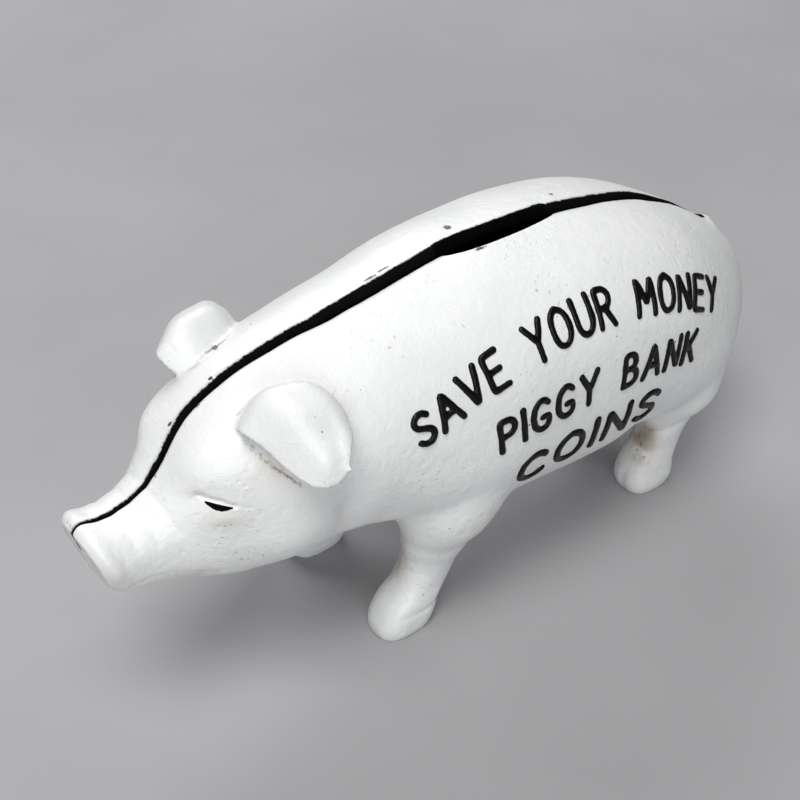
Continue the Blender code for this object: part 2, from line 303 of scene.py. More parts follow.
def relax(points, edges, weight, rounds):
    """Even out the surface where the weight is above zero."""
    total = len(points)
    degree = np.bincount(edges.ravel(), minlength=total)[:, None]
    share = (0.5 * weight)[:, None]
    for _ in range(rounds):
        mean = np.empty_like(points)
        for axis in range(3):
            column = points[:, axis]
            mean[:, axis] = np.bincount(edges[:, 0], column[edges[:, 1]], total)
            mean[:, axis] += np.bincount(edges[:, 1], column[edges[:, 0]], total)
        points = points + share * (mean / degree - points)
    return points


def lattice_noise(points, size, seed):
    """Smooth noise from -1 to 1 with features of about the given size."""
    cell = points / size + seed * 17.31
    base = np.floor(cell).astype(np.int64)
    part = cell - base
    part = part * part * (3.0 - 2.0 * part)
    total = np.zeros(len(points))
    for corner in range(8):
        offset = np.array([corner & 1, corner >> 1 & 1, corner >> 2 & 1])
        spot = base + offset
        code = spot[:, 0] * 73856093 ^ spot[:, 1] * 19349663 ^ spot[:, 2] * 83492791
        code = (code ^ code >> 13) * 1274126177 & 0x7FFFFFFF
        value = (code & 0xFFFF) / 32767.5 - 1.0
        share = np.ones(len(points))
        for axis in range(3):
            share *= part[:, axis] if offset[axis] else 1.0 - part[:, axis]
        total += value * share
    return total


def curve_rows(rows, places, count, crowd):
    """Smooth rows of numbers; crowd = 1 puts more rows near both ends."""
    rows = np.asarray(rows, float)
    steps = np.linalg.norm(np.diff(np.asarray(places, float), axis=0), axis=1)
    knots = np.concatenate([[0.0], np.cumsum(steps)])
    slopes = np.diff(rows, axis=0) / steps[:, None]
    tangents = np.empty_like(rows)
    tangents[0] = slopes[0]
    tangents[-1] = slopes[-1]
    before = steps[:-1, None]
    after = steps[1:, None]
    tangents[1:-1] = (slopes[:-1] * after + slopes[1:] * before) / (before + after)
    share = np.linspace(0.0, 1.0, count)
    share = (1.0 - crowd) * share + crowd * (0.5 - 0.5 * np.cos(math.pi * share))
    spots = share * knots[-1]
    number = np.clip(np.searchsorted(knots, spots, side="right") - 1, 0, len(steps) - 1)
    width = steps[number][:, None]
    t = ((spots - knots[number]) / steps[number])[:, None]
    first = (1.0 + 2.0 * t) * (1.0 - t) ** 2 * rows[number]
    second = t * (1.0 - t) ** 2 * width * tangents[number]
    third = t * t * (3.0 - 2.0 * t) * rows[number + 1]
    fourth = t * t * (t - 1.0) * width * tangents[number + 1]
    return first + second + third + fourth


def nearest_distance(tree, points):
    """Distance from each point to a tree's surface, in millimetres."""
    found = [tree.find_nearest(Vector(point))[3] for point in points * MM]
    return np.array(found) / MM


def tree_of(target):
    """Search tree over an object's surface."""
    return BVHTree.FromPolygons(
        [vertex.co for vertex in target.data.vertices],
        [tuple(face.vertices) for face in target.data.polygons],
    )


# ------------------------------------------------------------------ castings: raw form


def body_section(row, inset, plane, steps):
    """Left half section of the body, closed on the plane y = plane."""
    top = np.array([row[0], 0.0, row[1]])
    bottom = np.array([row[2], 0.0, row[3]])
    along = (bottom - top) / np.linalg.norm(bottom - top)
    top = top + along * inset
    bottom = bottom - along * inset
    half_height = np.linalg.norm(bottom - top) / 2.0
    middle = (top + bottom) / 2.0
    half_width = row[4] - inset
    angle = np.linspace(0.0, math.pi, steps + 1)
    rise = np.cos(angle)
    power = np.where(rise > 0.0, 2.0 / row[5], 2.0 / row[6])
    height = np.sign(rise) * np.abs(rise) ** power * half_height
    width = np.clip(np.sin(angle), 0.0, 1.0) ** power * half_width
    ring = middle - along * height[:, None]
    ring[:, 1] = -width
    first = ring[:1].copy()
    last = ring[-1:].copy()
    first[:, 1] = plane
    last[:, 1] = plane
    return np.concatenate([first, ring, last])


def body_rows(rows, count):
    """Smooth body sections."""
    middles = [((row[0] + row[2]) / 2.0, (row[1] + row[3]) / 2.0) for row in rows]
    return curve_rows(rows, middles, count, 0.6)


def make_body():
    """Left half of the trunk and head, run past the seam."""
    rings = [body_section(row, 0.0, OVERRUN, 72) for row in body_rows(BODY, 170)]
    return loft("body", rings)


def make_leg(rows, name, splay):
    """Solid leg, worked on the left side; splay moves it out at the hoof and at the top."""
    rows = curve_rows(rows, [(row[0], row[2]) for row in rows], 60, 0.2)
    angle = np.linspace(0.0, 2.0 * math.pi, 48, endpoint=False)
    rings = []
    for centre, offset, height, length, width in rows:
        offset += np.interp(height, (0.0, rows[-1][2]), splay)
        power = np.interp(height, (10.0, 32.0), (0.72, 1.0))
        x = centre + length * np.sign(np.cos(angle)) * np.abs(np.cos(angle)) ** power
        y = -offset + width * np.sign(np.sin(angle)) * np.abs(np.sin(angle)) ** power
        rings.append(np.stack([x, y, np.full_like(x, height)], axis=1))
    return loft(name, rings)


def make_ear(sag):
    """Left ear flap with a dome, a hollow towards the rear and a raised rim; sag lowers its middle."""
    flat = [[number for point in rib for number in point] for rib in EAR]
    ribs = curve_rows(flat, [rib[1] for rib in EAR], 64, 0.3).reshape(-1, 3, 3)
    ribs[:, 1, 2] -= sag * np.minimum(np.linspace(0.0, 3.0, 64), 1.0)
    share = (0.5 - 0.5 * np.cos(np.linspace(0.0, math.pi, 41)))[None, :, None]
    rest = 1.0 - share
    lift = ribs[:, 1:2] - (ribs[:, 0:1] + ribs[:, 2:3]) / 2.0
    arch = 1.0 - np.abs(2.0 * share - 1.0) ** EAR_SQUARENESS
    surface = ribs[:, 0:1] * rest + ribs[:, 2:3] * share + lift * arch
    across = np.gradient(surface, axis=1)
    outward = np.gradient(surface, axis=0)
    normal = np.cross(across, outward)
    normal /= np.linalg.norm(normal, axis=2, keepdims=True)
    along = np.linspace(0.0, 1.0, 64)[:, None]
    place = share[:, :, 0]
    dome = 0.8 * np.exp(-(((place - 0.35) / 0.24) ** 2) - ((along - 0.42) / 0.26) ** 2)
    hollow = 2.1 * np.exp(-(((place - 0.7) / 0.24) ** 2) - ((along - 0.74) / 0.22) ** 2)
    rim = 0.45 * (np.exp(-((place / 0.07) ** 2)) + np.exp(-(((1.0 - place) / 0.07) ** 2)))
    rim = rim + 0.45 * np.exp(-(((1.0 - along) / 0.06) ** 2))
    surface = surface + normal * (dome - hollow + rim)[:, :, None]
    depth = EAR_EDGE + (EAR_THICKNESS - EAR_EDGE) * 4.0 * share * rest
    lower = surface - normal * depth
    rings = np.concatenate([surface, lower[:, ::-1]], axis=1)
    rings[:, :, 1] *= -1.0
    return loft("ear", list(rings))


def make_tail():
    """Tail that curls over the rump of the right half."""
    rows = curve_rows(TAIL, [row[:3] for row in TAIL], 60, 0.0)
    path = rows[:, :3]
    forward = np.gradient(path, axis=0)
    forward /= np.linalg.norm(forward, axis=1, keepdims=True)
    angle = np.linspace(0.0, 2.0 * math.pi, 24, endpoint=False)
    rings = []
    for spot, ahead, radius in zip(path, forward, rows[:, 3]):
        out = np.array([1.0, 0.0, 0.0])
        out = out - ahead * out.dot(ahead)
        out /= np.linalg.norm(out)
        side = np.cross(ahead, out)
        ring = spot + radius * (np.outer(np.cos(angle), out) + np.outer(np.sin(angle), side))
        rings.append(ring)
    return loft("tail", rings)


# Swellings and hollows of the modelling: x, off the seam, z; reach along x, y, z; height
SWELLINGS = (
    ((-104.5, 13.0, 101.0), (9.0, 9.0, 8.5), 2.6),
    ((-97.0, 20.0, 103.0), (8.0, 8.0, 7.0), 0.8),
    ((-105.5, 16.0, 94.0), (5.0, 5.0, 3.0), -0.8),
    ((-102.0, 22.0, 87.5), (6.0, 5.0, 3.5), 0.7),
    ((-84.0, 31.0, 71.0), (14.0, 12.0, 12.0), 2.6),
    ((-112.0, 17.0, 80.0), (8.0, 6.0, 8.0), -0.6),
    ((-64.5, 36.0, 78.0), (7.0, 10.0, 18.0), -1.8),
    ((-50.0, 36.0, 64.0), (8.0, 10.0, 13.0), -1.2),
    ((-22.0, 40.0, 68.0), (22.0, 14.0, 22.0), 2.2),
    ((62.0, 46.0, 48.0), (10.0, 14.0, 13.0), -2.2),
    ((100.0, 36.0, 58.0), (20.0, 18.0, 20.0), 2.2),
    ((97.0, 31.0, 40.5), (15.0, 11.0, 6.5), 2.2),
    ((-22.0, 36.0, 48.0), (13.0, 9.0, 7.5), 1.0),
    ((128.5, 1.5, 91.0), (4.5, 4.5, 4.0), 1.6),
    ((-139.0, 5.0, 80.5), (2.4, 1.9, 2.8), -1.0),
)

# Creases: points they run through as x, off the seam, z; half width; depth
CREASES = (
    (((-106.6, 16.2, 95.2), (-105.0, 18.2, 94.5), (-102.5, 20.8, 93.4), (-99.0, 23.4, 91.8)), 0.9, 0.65),
    (((-99.0, 23.4, 91.8), (-95.2, 25.6, 90.4)), 0.8, 0.25),
    (((-132.0, 12.5, 69.0), (-124.0, 14.6, 70.0), (-114.0, 16.6, 67.0), (-104.0, 19.5, 64.5)), 1.0, 0.35),
    (((-127.5, 0.0, 89.0), (-127.0, 8.0, 87.5), (-126.5, 13.0, 82.0)), 1.3, 0.3),
    (((-121.5, 0.0, 90.0), (-121.0, 8.0, 88.5), (-120.0, 14.0, 82.0)), 1.3, 0.32),
    (((-116.0, 0.0, 93.0), (-115.5, 9.0, 91.0), (-114.0, 16.0, 84.0)), 1.4, 0.28),
    (((-50.0, 22.0, 10.5), (-44.0, 30.5, 10.0), (-34.0, 31.5, 9.2), (-22.0, 28.0, 9.6)), 1.0, 0.45),
    (((73.5, 22.5, 10.5), (79.0, 31.0, 10.4), (88.0, 32.0, 10.0), (96.0, 28.0, 11.0)), 1.0, 0.25),
    (
        (
            (79.0, 15.0, 28.0), (81.5, 25.0, 27.5), (86.0, 31.0, 29.0), (93.0, 34.0, 31.5),
            (103.0, 33.0, 33.5), (109.0, 25.0, 35.0),
        ),
        2.2,
        1.3,
    ),
    (((-67.0, 36.0, 80.0), (-67.5, 35.0, 70.0), (-69.0, 31.0, 60.0), (-71.0, 26.0, 54.0)), 3.0, 0.9),
    (((-37.0, 17.0, 42.0), (-31.0, 31.0, 38.5), (-20.0, 36.0, 36.5), (-8.0, 33.0, 38.0)), 3.4, 0.55),
    (((-50.3, 21.8, 0.0), (-50.0, 21.8, 4.0), (-47.6, 21.8, 9.5)), 1.1, 0.12),
    (((73.6, 22.5, 0.0), (73.6, 22.5, 4.0), (74.0, 22.5, 9.5)), 1.1, 0.3),
    (((-86.0, 12.5, 114.5), (-78.0, 13.5, 116.5), (-70.0, 16.0, 116.0), (-64.0, 20.0, 112.5)), 1.4, 1.1),
)


def crease_distance(points, path):
    """Distance of each point to a crease's line."""
    best = np.full(len(points), 1e9)
    for start, end in zip(path, path[1:]):
        start = np.array(start)
        span = np.array(end) - start
        share = np.clip((points - start) @ span / span.dot(span), 0.0, 1.0)
        gap = np.linalg.norm(points - start - share[:, None] * span, axis=1)
        best = np.minimum(best, gap)
    return best


def relief(mirrored):
    """Height added by the modelling at each point, millimetres."""
    height = np.zeros(len(mirrored))
    for centre, reach, amount in SWELLINGS:
        gap = (mirrored - np.array(centre)) / np.array(reach)
        height += amount * np.exp(-np.sum(gap * gap, axis=1))
    for path, width, depth in CREASES:
        height -= depth * np.exp(-((crease_distance(mirrored, path) / width) ** 2))
    snout = mirrored[:, 0] < -118.0
    lip = 0.15 * np.exp(-(((mirrored[:, 0] + 136.0 - (88.0 - mirrored[:, 2]) * 0.22) / 2.4) ** 2))
    neck = 0.1 * np.exp(-(((mirrored[:, 0] + 128.0 - (88.0 - mirrored[:, 2]) * 0.22) / 3.6) ** 2))
    height += np.where(snout, lip - neck, 0.0)
    return height


def refine(target, centres):
    """Split the faces near the fine features once more."""
    work = bmesh.new()
    work.from_mesh(target.data)
    chosen = []
    for edge in work.edges:
        middle = (edge.verts[0].co + edge.verts[1].co) / 2.0 / MM
        if any((middle - centre).length < reach for centre, reach in centres):
            chosen.append(edge)
    bmesh.ops.subdivide_edges(work, edges=chosen, cuts=1, use_grid_fill=True)
    work.to_mesh(target.data)
    work.free()


def soft_edge(x, side):
    """Width of the rounded edge along the seam: thin on the snout, full over the back."""
    if side < 0.0:
        return np.interp(x, LEFT_EDGE_X, LEFT_EDGE)
    return np.interp(x, RIGHT_EDGE_X, RIGHT_EDGE)


def raw_half(name, splay, sag):
    """Outer skin of one half, worked on the left side and run past the seam plane."""
    body = make_body()
    legs = [make_leg(FORE_LEG, "fore_leg", splay), make_leg(HIND_LEG, "hind_leg", NO_SPLAY)]
    ear = make_ear(sag)
    body_tree = tree_of(body)
    leg_trees = [tree_of(leg) for leg in legs]
    ear_tree = tree_of(ear)
    skin = merge(name, [body, ear] + legs)
    bake_modifier(skin, "REMESH", mode="VOXEL", voxel_size=VOXEL * MM, adaptivity=0.0)
    refine(skin, ((Vector((-101.5, -20.5, 93.0)), 10.0),))
    points = points_of(skin)
    edges = edges_of(skin)
    to_body = nearest_distance(body_tree, points)
    to_ear = nearest_distance(ear_tree, points)
    to_leg = np.minimum(*[nearest_distance(tree, points) for tree in leg_trees])
    rounds = max(4, int(2.0 / VOXEL**2))
    points = relax(points, edges, np.full(len(points), 0.6), 2)
    leg_joint = np.exp(-(((to_body + to_leg) / 7.0) ** 2)) * (points[:, 2] > 24.0)
    points = relax(points, edges, leg_joint, rounds * 24)
    ear_joint = np.exp(-(((to_body + to_ear) / 2.2) ** 2))
    points = relax(points, edges, ear_joint, rounds * 3)
    ear_tip = np.clip((-points[:, 1] - 42.5) / 3.0, 0.0, 1.0) * (points[:, 2] > 95.0)
    points = relax(points, edges, ear_tip, rounds * 4)
    place_points(skin, points)
    mirrored = points.copy()
    mirrored[:, 1] = np.maximum(-mirrored[:, 1], 0.0)
    height = relief(mirrored)
    height[to_ear < 1.2] = 0.0
    height += 0.22 * lattice_noise(points, 17.0, 3) * (to_ear > 1.2)
    points = points + normals_of(skin) * height[:, None]
    place_points(skin, points)
    return skin


def soften_seam(skin, side, fall, seed):
    """Round the edge of the casting towards the seam plane."""
    work = bmesh.new()
    work.from_mesh(skin.data)
    for offset in SEAM_CUTS:
        everything = work.verts[:] + work.edges[:] + work.faces[:]
        bmesh.ops.bisect_plane(
            work, geom=everything, dist=1e-7, plane_co=(0.0, -offset * MM, 0.0), plane_no=(0.0, 1.0, 0.0)
        )
    work.to_mesh(skin.data)
    work.free()
    points = points_of(skin)
    normals = normals_of(skin)
    normals[:, 1] = 0.0
    normals /= np.maximum(np.linalg.norm(normals, axis=1, keepdims=True), 1e-6)
    radius = soft_edge(points[:, 0], side) * (1.0 + 0.08 * lattice_noise(points, 9.0, seed))
    off = np.clip(-points[:, 1] / radius, 0.0, 1.0)
    drop = fall * radius * (1.0 - np.sqrt(1.0 - (1.0 - off) ** 2))
    drop[points[:, 1] > 3.5] = 0.0
    points = points - normals * drop[:, None]
    place_points(skin, points)


# ------------------------------------------------------------------ castings: machining


def circle(x, y, z, radius, steps):
    """Ring around the Y direction; the radius may be one number or one per step."""
    angle = np.linspace(0.0, 2.0 * math.pi, steps, endpoint=False)
    return np.stack([x + radius * np.cos(angle), np.full(steps, y), z + radius * np.sin(angle)], axis=1)


def rod(name, x, z, stations, steps=64):
    """Turned solid along Y; stations are pairs of y and radius."""
    return loft(name, [circle(x, y, z, radius, steps) for y, radius in stations])


def block(name, low, high):
    """Box between two corners."""
    rings = []
    for z in (low[2], high[2]):
        rings.append([(low[0], low[1], z), (high[0], low[1], z), (high[0], high[1], z), (low[0], high[1], z)])
    return loft(name, rings)


def slot_cutter():
    """Coin slot: deeper bite into the left half, bevelled edge on the right."""
    rings = []
    for height, left, right, longer in SLOT_RINGS:
        middle = (SLOT_START + SLOT_END) / 2.0
        half_length = (SLOT_END - SLOT_START) / 2.0 + longer
        ring = []
        for step in range(SLOT_STEPS):
            angle = 2.0 * math.pi * step / SLOT_STEPS
            along = math.copysign(abs(math.cos(angle)) ** SLOT_END_POWER, math.cos(angle))
            if math.sin(angle) > 0.0:
                y = right * abs(math.sin(angle)) ** RIGHT_SLOT_POWER
            else:
                y = -left * abs(math.sin(angle)) ** LEFT_SLOT_POWER
            ring.append((middle + along * half_length, y, height))
        rings.append(ring)
    return loft("slot", rings)


def mirror(target):
    """Turn a left half into a right half."""
    work = bmesh.new()
    work.from_mesh(target.data)
    for vertex in work.verts:
        vertex.co.y = -vertex.co.y
    bmesh.ops.reverse_faces(work, faces=work.faces)
    work.to_mesh(target.data)
    work.free()


def roughen(target, seed):
    """Sand-cast unevenness with small dents, strongest on the cheeks and the shoulders."""
    points = points_of(target)
    height = 0.07 * lattice_noise(points, 1.7, seed)
    height += 0.09 * lattice_noise(points, 4.2, seed + 1)
    rough = np.clip(0.35 + 0.5 * lattice_noise(points, 24.0, seed + 2), 0.1, 1.0)
    rough = np.maximum(rough, np.clip((100.0 - points[:, 2]) / 60.0, 0.0, 0.8) * (points[:, 0] < 10.0))
    dent = np.clip((lattice_noise(points, 2.1, seed + 3) - 0.5) / 0.3, 0.0, 1.0)
    height = height * (0.25 + 0.6 * rough) - 0.2 * dent * rough
    height *= np.clip((points[:, 2] - 0.5) / 2.0, 0.0, 1.0)
    place_points(target, points + normals_of(target) * height[:, None])


def hollow_out(half, side):
    """Cavity, boss, slot and flat joint face of one half."""
    far = 60.0
    plane = SEAM_GAP / 2.0
    low = (-200.0, min(side * plane, side * far), -20.0)
    high = (200.0, max(side * plane, side * far), 160.0)
    combine(half, block("space", low, high), "INTERSECT")
    rings = [body_section(row, WALL, 3.0, 40) for row in body_rows(CAVITY_ROWS, 60)]
    for ring in rings:
        ring[:, 1] *= -side
    combine(half, loft("cavity", rings), "DIFFERENCE")
    boss = (
        (side * plane, BOSS_RADIUS - 0.5),
        (side * (plane + 0.5), BOSS_RADIUS),
        (side * 34.0, BOSS_ROOT_RADIUS - 0.6),
        (side * BOSS_ROOT, BOSS_ROOT_RADIUS),
    )
    combine(half, rod("boss", SCREW_X, SCREW_Z, boss), "UNION")
    combine(half, slot_cutter(), "DIFFERENCE")


def finish_left(half):
    """Screw bore with a countersunk mouth and the peg sockets."""
    bore = SCREW_RADIUS + SCREW_CLEARANCE
    stations = (
        (2.0, bore + 1.0),
        (-SEAM_GAP, bore + 0.8),
        (-1.2, bore),
        (-BORE_DEPTH, bore),
        (-BORE_DEPTH - 1.5, 0.4),
    )
    combine(half, rod("bore", SCREW_X, SCREW_Z, stations), "DIFFERENCE")
    for x, z in PEGS:
        radius = PEG_RADIUS + SOCKET_CLEARANCE
        depth = PEG_LENGTH + SOCKET_CLEARANCE
        stations = ((2.0, radius + 0.4), (-0.7, radius), (-depth, radius), (-depth - 0.6, 0.4))
        combine(half, rod("socket", x, z, stations, 40), "DIFFERENCE")


def finish_right(half):
    """Through bore, head recess with a soft edge, pegs and tail."""
    tail = make_tail()
    combine(half, tail, "UNION")
    bore = SCREW_RADIUS + SCREW_CLEARANCE
    stations = ((-2.0, bore), (RECESS_FLOOR + 2.0, bore))
    combine(half, rod("bore", SCREW_X, SCREW_Z, stations), "DIFFERENCE")
    stations = (
        (RECESS_FLOOR, RECESS_RADIUS - 0.4),
        (RECESS_FLOOR + 0.4, RECESS_RADIUS),
        (RECESS_FLOOR + 6.0, RECESS_RADIUS),
        (RECESS_FLOOR + 12.0, RECESS_RADIUS + 3.0),
    )
    combine(half, rod("recess", SCREW_X, SCREW_Z, stations), "DIFFERENCE")
    for x, z in PEGS:
        stations = (
            (4.0, PEG_RADIUS),
            (-PEG_LENGTH * 0.55, PEG_RADIUS * 0.96),
            (-PEG_LENGTH * 0.85, PEG_RADIUS * 0.8),
            (-PEG_LENGTH, PEG_RADIUS * 0.5),
        )
        combine(half, rod("peg", x, z, stations, 40), "UNION")


def flatten_soles(half):
    """Keep the hooves on the ground."""
    points = points_of(half)
    points[:, 2] = np.maximum(points[:, 2], 0.0)
    place_points(half, points)


def set_attribute(target, name, values):
    """Store one number per vertex for the material."""
    layer = target.data.attributes.new(name, "FLOAT", "POINT")
    layer.data.foreach_set("value", np.asarray(values, np.float32))


# Warm dirt with painted shade of the recesses: x, off the seam, z; reach; strength
DIRT_AND_SHADE_SPOTS = (
    ((-88.0, 27.0, 103.0), (7.0, 5.0, 6.0), 0.45),
    ((-101.5, 22.5, 88.0), (7.0, 6.0, 3.2), 0.35),
    ((-107.0, 15.5, 95.5), (3.0, 3.0, 1.6), 0.5),
    ((-112.0, 16.0, 65.0), (16.0, 6.0, 3.0), 0.4),
    ((-134.0, 13.5, 73.0), (3.0, 4.0, 7.0), 0.4),
    ((-139.0, 6.0, 76.0), (3.0, 7.0, 9.0), 0.4),
    ((-32.0, 15.0, 36.0), (8.0, 8.0, 9.0), 1.2),
    ((-35.5, 18.0, 25.0), (3.5, 5.0, 9.0), 1.1),
    ((81.0, 22.5, 24.0), (4.6, 8.0, 6.5), 1.8),
    ((78.0, 24.5, 16.5), (3.5, 6.0, 5.0), 0.9),
    ((106.0, 16.0, 30.0), (5.0, 7.0, 6.0), 0.5),
    ((-66.0, 33.0, 70.0), (3.0, 8.0, 10.0), 0.22),
    ((-64.0, 25.0, 109.0), (4.0, 5.0, 4.0), 0.35),
)

# Lines of dirt that settled in the creases, with painted shade along them: path; half width; strength
DIRT_AND_SHADE_LINES = (
    (
        (
            (-91.0, 19.5, 109.0), (-88.8, 23.9, 104.8), (-86.5, 26.8, 101.7), (-83.7, 29.1, 98.6),
            (-80.5, 31.0, 94.5),
        ),
        1.3,
        1.0,
    ),
    (
        (
            (-89.0, 13.0, 114.0), (-82.5, 14.6, 116.8), (-78.8, 14.7, 117.6), (-74.4, 15.7, 117.8),
            (-69.0, 18.5, 117.0),
        ),
        1.1,
        1.0,
    ),
    (((-130.0, 13.0, 71.0), (-121.3, 14.1, 68.3), (-112.3, 15.8, 65.7), (-104.0, 18.0, 62.0)), 1.0, 0.8),
    (((-106.6, 16.2, 95.2), (-102.5, 20.8, 93.4), (-95.2, 25.6, 90.4)), 0.7, 0.5),
    (
        (
            (79.0, 15.0, 28.0), (81.5, 25.0, 27.5), (86.0, 31.0, 29.0), (93.0, 34.0, 31.5),
            (103.0, 33.0, 33.5),
        ),
        1.8,
        0.7,
    ),
    (((-50.0, 22.0, 10.5), (-44.0, 30.5, 10.0), (-34.0, 31.5, 9.6), (-22.0, 28.0, 11.0)), 0.8, 0.35),
)


# Width of the dark band along the seam of the right half: black paint, painted darker as the shadow in the
# gap
BAND_X = (-136, -118, -109, -100, -88, -60, -37, -6, 2, 36, 46, 70, 90, 110, 130)
BAND_WIDTH = (0.7, 1.0, 1.1, 1.9, 1.6, 2.2, 2.6, 2.8, 3.4, 3.3, 2.3, 2.0, 2.8, 2.8, 1.6)
# The same within the coin slot, and the share of the soft edge that is black on the left half
SLOT_BAND_WIDTH = 3.5
LEFT_BAND_SHARE = 0.22
# The front of the snout stays white: everything before this x and below this z
SNOUT_FACE_X = -133.0
SNOUT_FACE_TOP = 79.0


def paint_masks(target, skin_tree, side):
    """Numbers that drive the paint: seam band, black inside, hollows, dirt and settled grime; the dark ones
    are also painted shade of the seam gap, the cavity and the creases.
    """
    points = points_of(target)
    off = points[:, 1] * side
    to_skin = nearest_distance(skin_tree, points)
    # inside and joint faces turn near-black: dark iron, painted darker as the shade in the cavity and the
    # seam gap
    inside = np.clip((to_skin - 1.0) / 1.0, 0.0, 1.0)
    inside[off < SEAM_GAP] = 1.0
    from_end = np.minimum(points[:, 0] - SLOT_START, SLOT_END - points[:, 0])
    in_slot = np.clip((from_end + 1.0) / 1.5, 0.0, 1.0)
    if side > 0.0:
        width = np.interp(points[:, 0], BAND_X, BAND_WIDTH)
    else:
        width = LEFT_BAND_SHARE * soft_edge(points[:, 0], side)
    width = width * (1.0 - in_slot) + SLOT_BAND_WIDTH * in_slot
    bare = (points[:, 0] < SNOUT_FACE_X) & (points[:, 2] < SNOUT_FACE_TOP) & (to_skin < 0.8)
    if side > 0.0:
        bare |= crease_distance(points, [row[:3] for row in TAIL]) < TAIL_REACH
    inside[bare] = 0.0
    set_attribute(target, "band", off - np.where(bare, -5.0, width))
    set_attribute(target, "inside", inside)
    mirrored = points.copy()
    mirrored[:, 1] = np.abs(off)
    dirt_and_shade = np.zeros(len(points))
    for centre, reach, amount in DIRT_AND_SHADE_SPOTS:
        gap = (mirrored - np.array(centre)) / np.array(reach)
        dirt_and_shade = np.maximum(dirt_and_shade, amount * np.exp(-np.sum(gap * gap, axis=1)))
    grime_and_shade = np.zeros(len(points))
    for path, reach, amount in DIRT_AND_SHADE_LINES:
        grime_and_shade = np.maximum(grime_and_shade, amount * np.exp(-((crease_distance(mirrored, path) / reach) ** 2)))
    # concavity of the surface, used to paint shade and dirt into the creases
    even = relax(points, edges_of(target), np.ones(len(points)), 12)
    hollow = np.sum((even - points) * normals_of(target), axis=1)
    set_attribute(target, "hollow", hollow)
    set_attribute(target, "dirt_and_shade", dirt_and_shade)
    set_attribute(target, "grime_and_shade", grime_and_shade)


def shade(target, angle):
    """Smooth shading with sharp edges above the given angle."""
    target.data.shade_smooth()
    target.data.set_sharp_from_angle(angle=math.radians(angle))


# ------------------------------------------------------------------ raised lettering

# Strokes of plain block capitals in a box one unit high; the last number is the width
GLYPHS = {
    "A": ([[(0.0, 0.0), (0.34, 1.0), (0.68, 0.0)], [(0.14, 0.36), (0.54, 0.36)]], 0.68),
    "B": (
        [
            [(0.0, 0.0), (0.0, 1.0), (0.3, 0.98), (0.44, 0.86), (0.42, 0.64), (0.28, 0.54), (0.0, 0.54)],
            [(0.28, 0.54), (0.5, 0.42), (0.52, 0.16), (0.34, 0.02), (0.0, 0.0)],
        ],
        0.52,
    ),
    "C": (
        [
            [
                (0.54, 0.84), (0.42, 0.98), (0.22, 0.98), (0.04, 0.78), (0.0, 0.5),
                (0.04, 0.22), (0.22, 0.02), (0.42, 0.02), (0.56, 0.16),
            ]
        ],
        0.56,
    ),
    "E": ([[(0.48, 1.0), (0.0, 1.0), (0.0, 0.0), (0.5, 0.0)], [(0.0, 0.52), (0.4, 0.52)]], 0.5),
    "G": (
        [
            [
                (0.56, 0.84), (0.42, 0.98), (0.22, 0.98), (0.04, 0.78), (0.0, 0.5), (0.04, 0.22),
                (0.22, 0.02), (0.44, 0.02), (0.58, 0.16), (0.58, 0.42), (0.34, 0.42),
            ]
        ],
        0.58,
    ),
    "I": ([[(0.0, 0.0), (0.0, 1.0)]], 0.0),
    "K": ([[(0.0, 0.0), (0.0, 1.0)], [(0.5, 1.0), (0.02, 0.42)], [(0.18, 0.58), (0.54, 0.0)]], 0.54),
    "M": ([[(0.0, 0.0), (0.04, 1.0), (0.34, 0.3), (0.64, 1.0), (0.68, 0.0)]], 0.68),
    "N": ([[(0.0, 0.0), (0.0, 1.0), (0.54, 0.0), (0.54, 1.0)]], 0.54),
    "O": (
        [
            [
                (0.3, 1.0), (0.1, 0.9), (0.0, 0.66), (0.0, 0.34), (0.1, 0.1), (0.3, 0.0),
                (0.5, 0.1), (0.6, 0.34), (0.6, 0.66), (0.5, 0.9), (0.3, 1.0),
            ]
        ],
        0.6,
    ),
    "P": ([[(0.0, 0.0), (0.0, 1.0), (0.34, 0.98), (0.5, 0.84), (0.5, 0.62), (0.34, 0.48), (0.0, 0.46)]], 0.5),
    "R": (
        [
            [(0.0, 0.0), (0.0, 1.0), (0.34, 0.98), (0.48, 0.84), (0.46, 0.62), (0.32, 0.5), (0.0, 0.48)],
            [(0.24, 0.48), (0.52, 0.0)],
        ],
        0.52,
    ),
    "S": (
        [
            [
                (0.5, 0.84), (0.38, 0.98), (0.18, 0.98), (0.03, 0.84), (0.06, 0.64), (0.26, 0.52),
                (0.46, 0.38), (0.5, 0.18), (0.34, 0.02), (0.14, 0.02), (0.0, 0.16),
            ]
        ],
        0.5,
    ),
    "U": ([[(0.0, 1.0), (0.0, 0.3), (0.1, 0.08), (0.28, 0.0), (0.46, 0.08), (0.56, 0.3), (0.56, 1.0)]], 0.56),
    "V": ([[(0.0, 1.0), (0.3, 0.0), (0.6, 1.0)]], 0.6),
    "Y": ([[(0.0, 1.0), (0.3, 0.48), (0.6, 1.0)], [(0.3, 0.48), (0.3, 0.0)]], 0.6),
}

# Lines of lettering: words, baseline points as x and z, letter height, space, half stroke width
LINES = (
    (
        "SAVE YOUR MONEY",
        ((-41.0, 93.5), (-16.0, 102.0), (14.0, 107.5), (42.0, 106.5), (68.0, 99.5), (88.0, 90.0)),
        11.2,
        2.9,
        1.2,
    ),
    ("PIGGY BANK", ((-13.0, 80.5), (8.0, 82.5), (30.0, 83.0), (54.0, 81.0), (74.0, 77.0)), 11.8, 3.8, 1.25),
    ("COINS", ((-3.0, 59.5), (25.0, 61.0), (58.0, 60.0)), 13.0, 4.0, 1.5),
)
STROKE_HEIGHT = 0.85
STROKE_ROOT = 0.9
FLANK_CENTRE_Z = 78.0


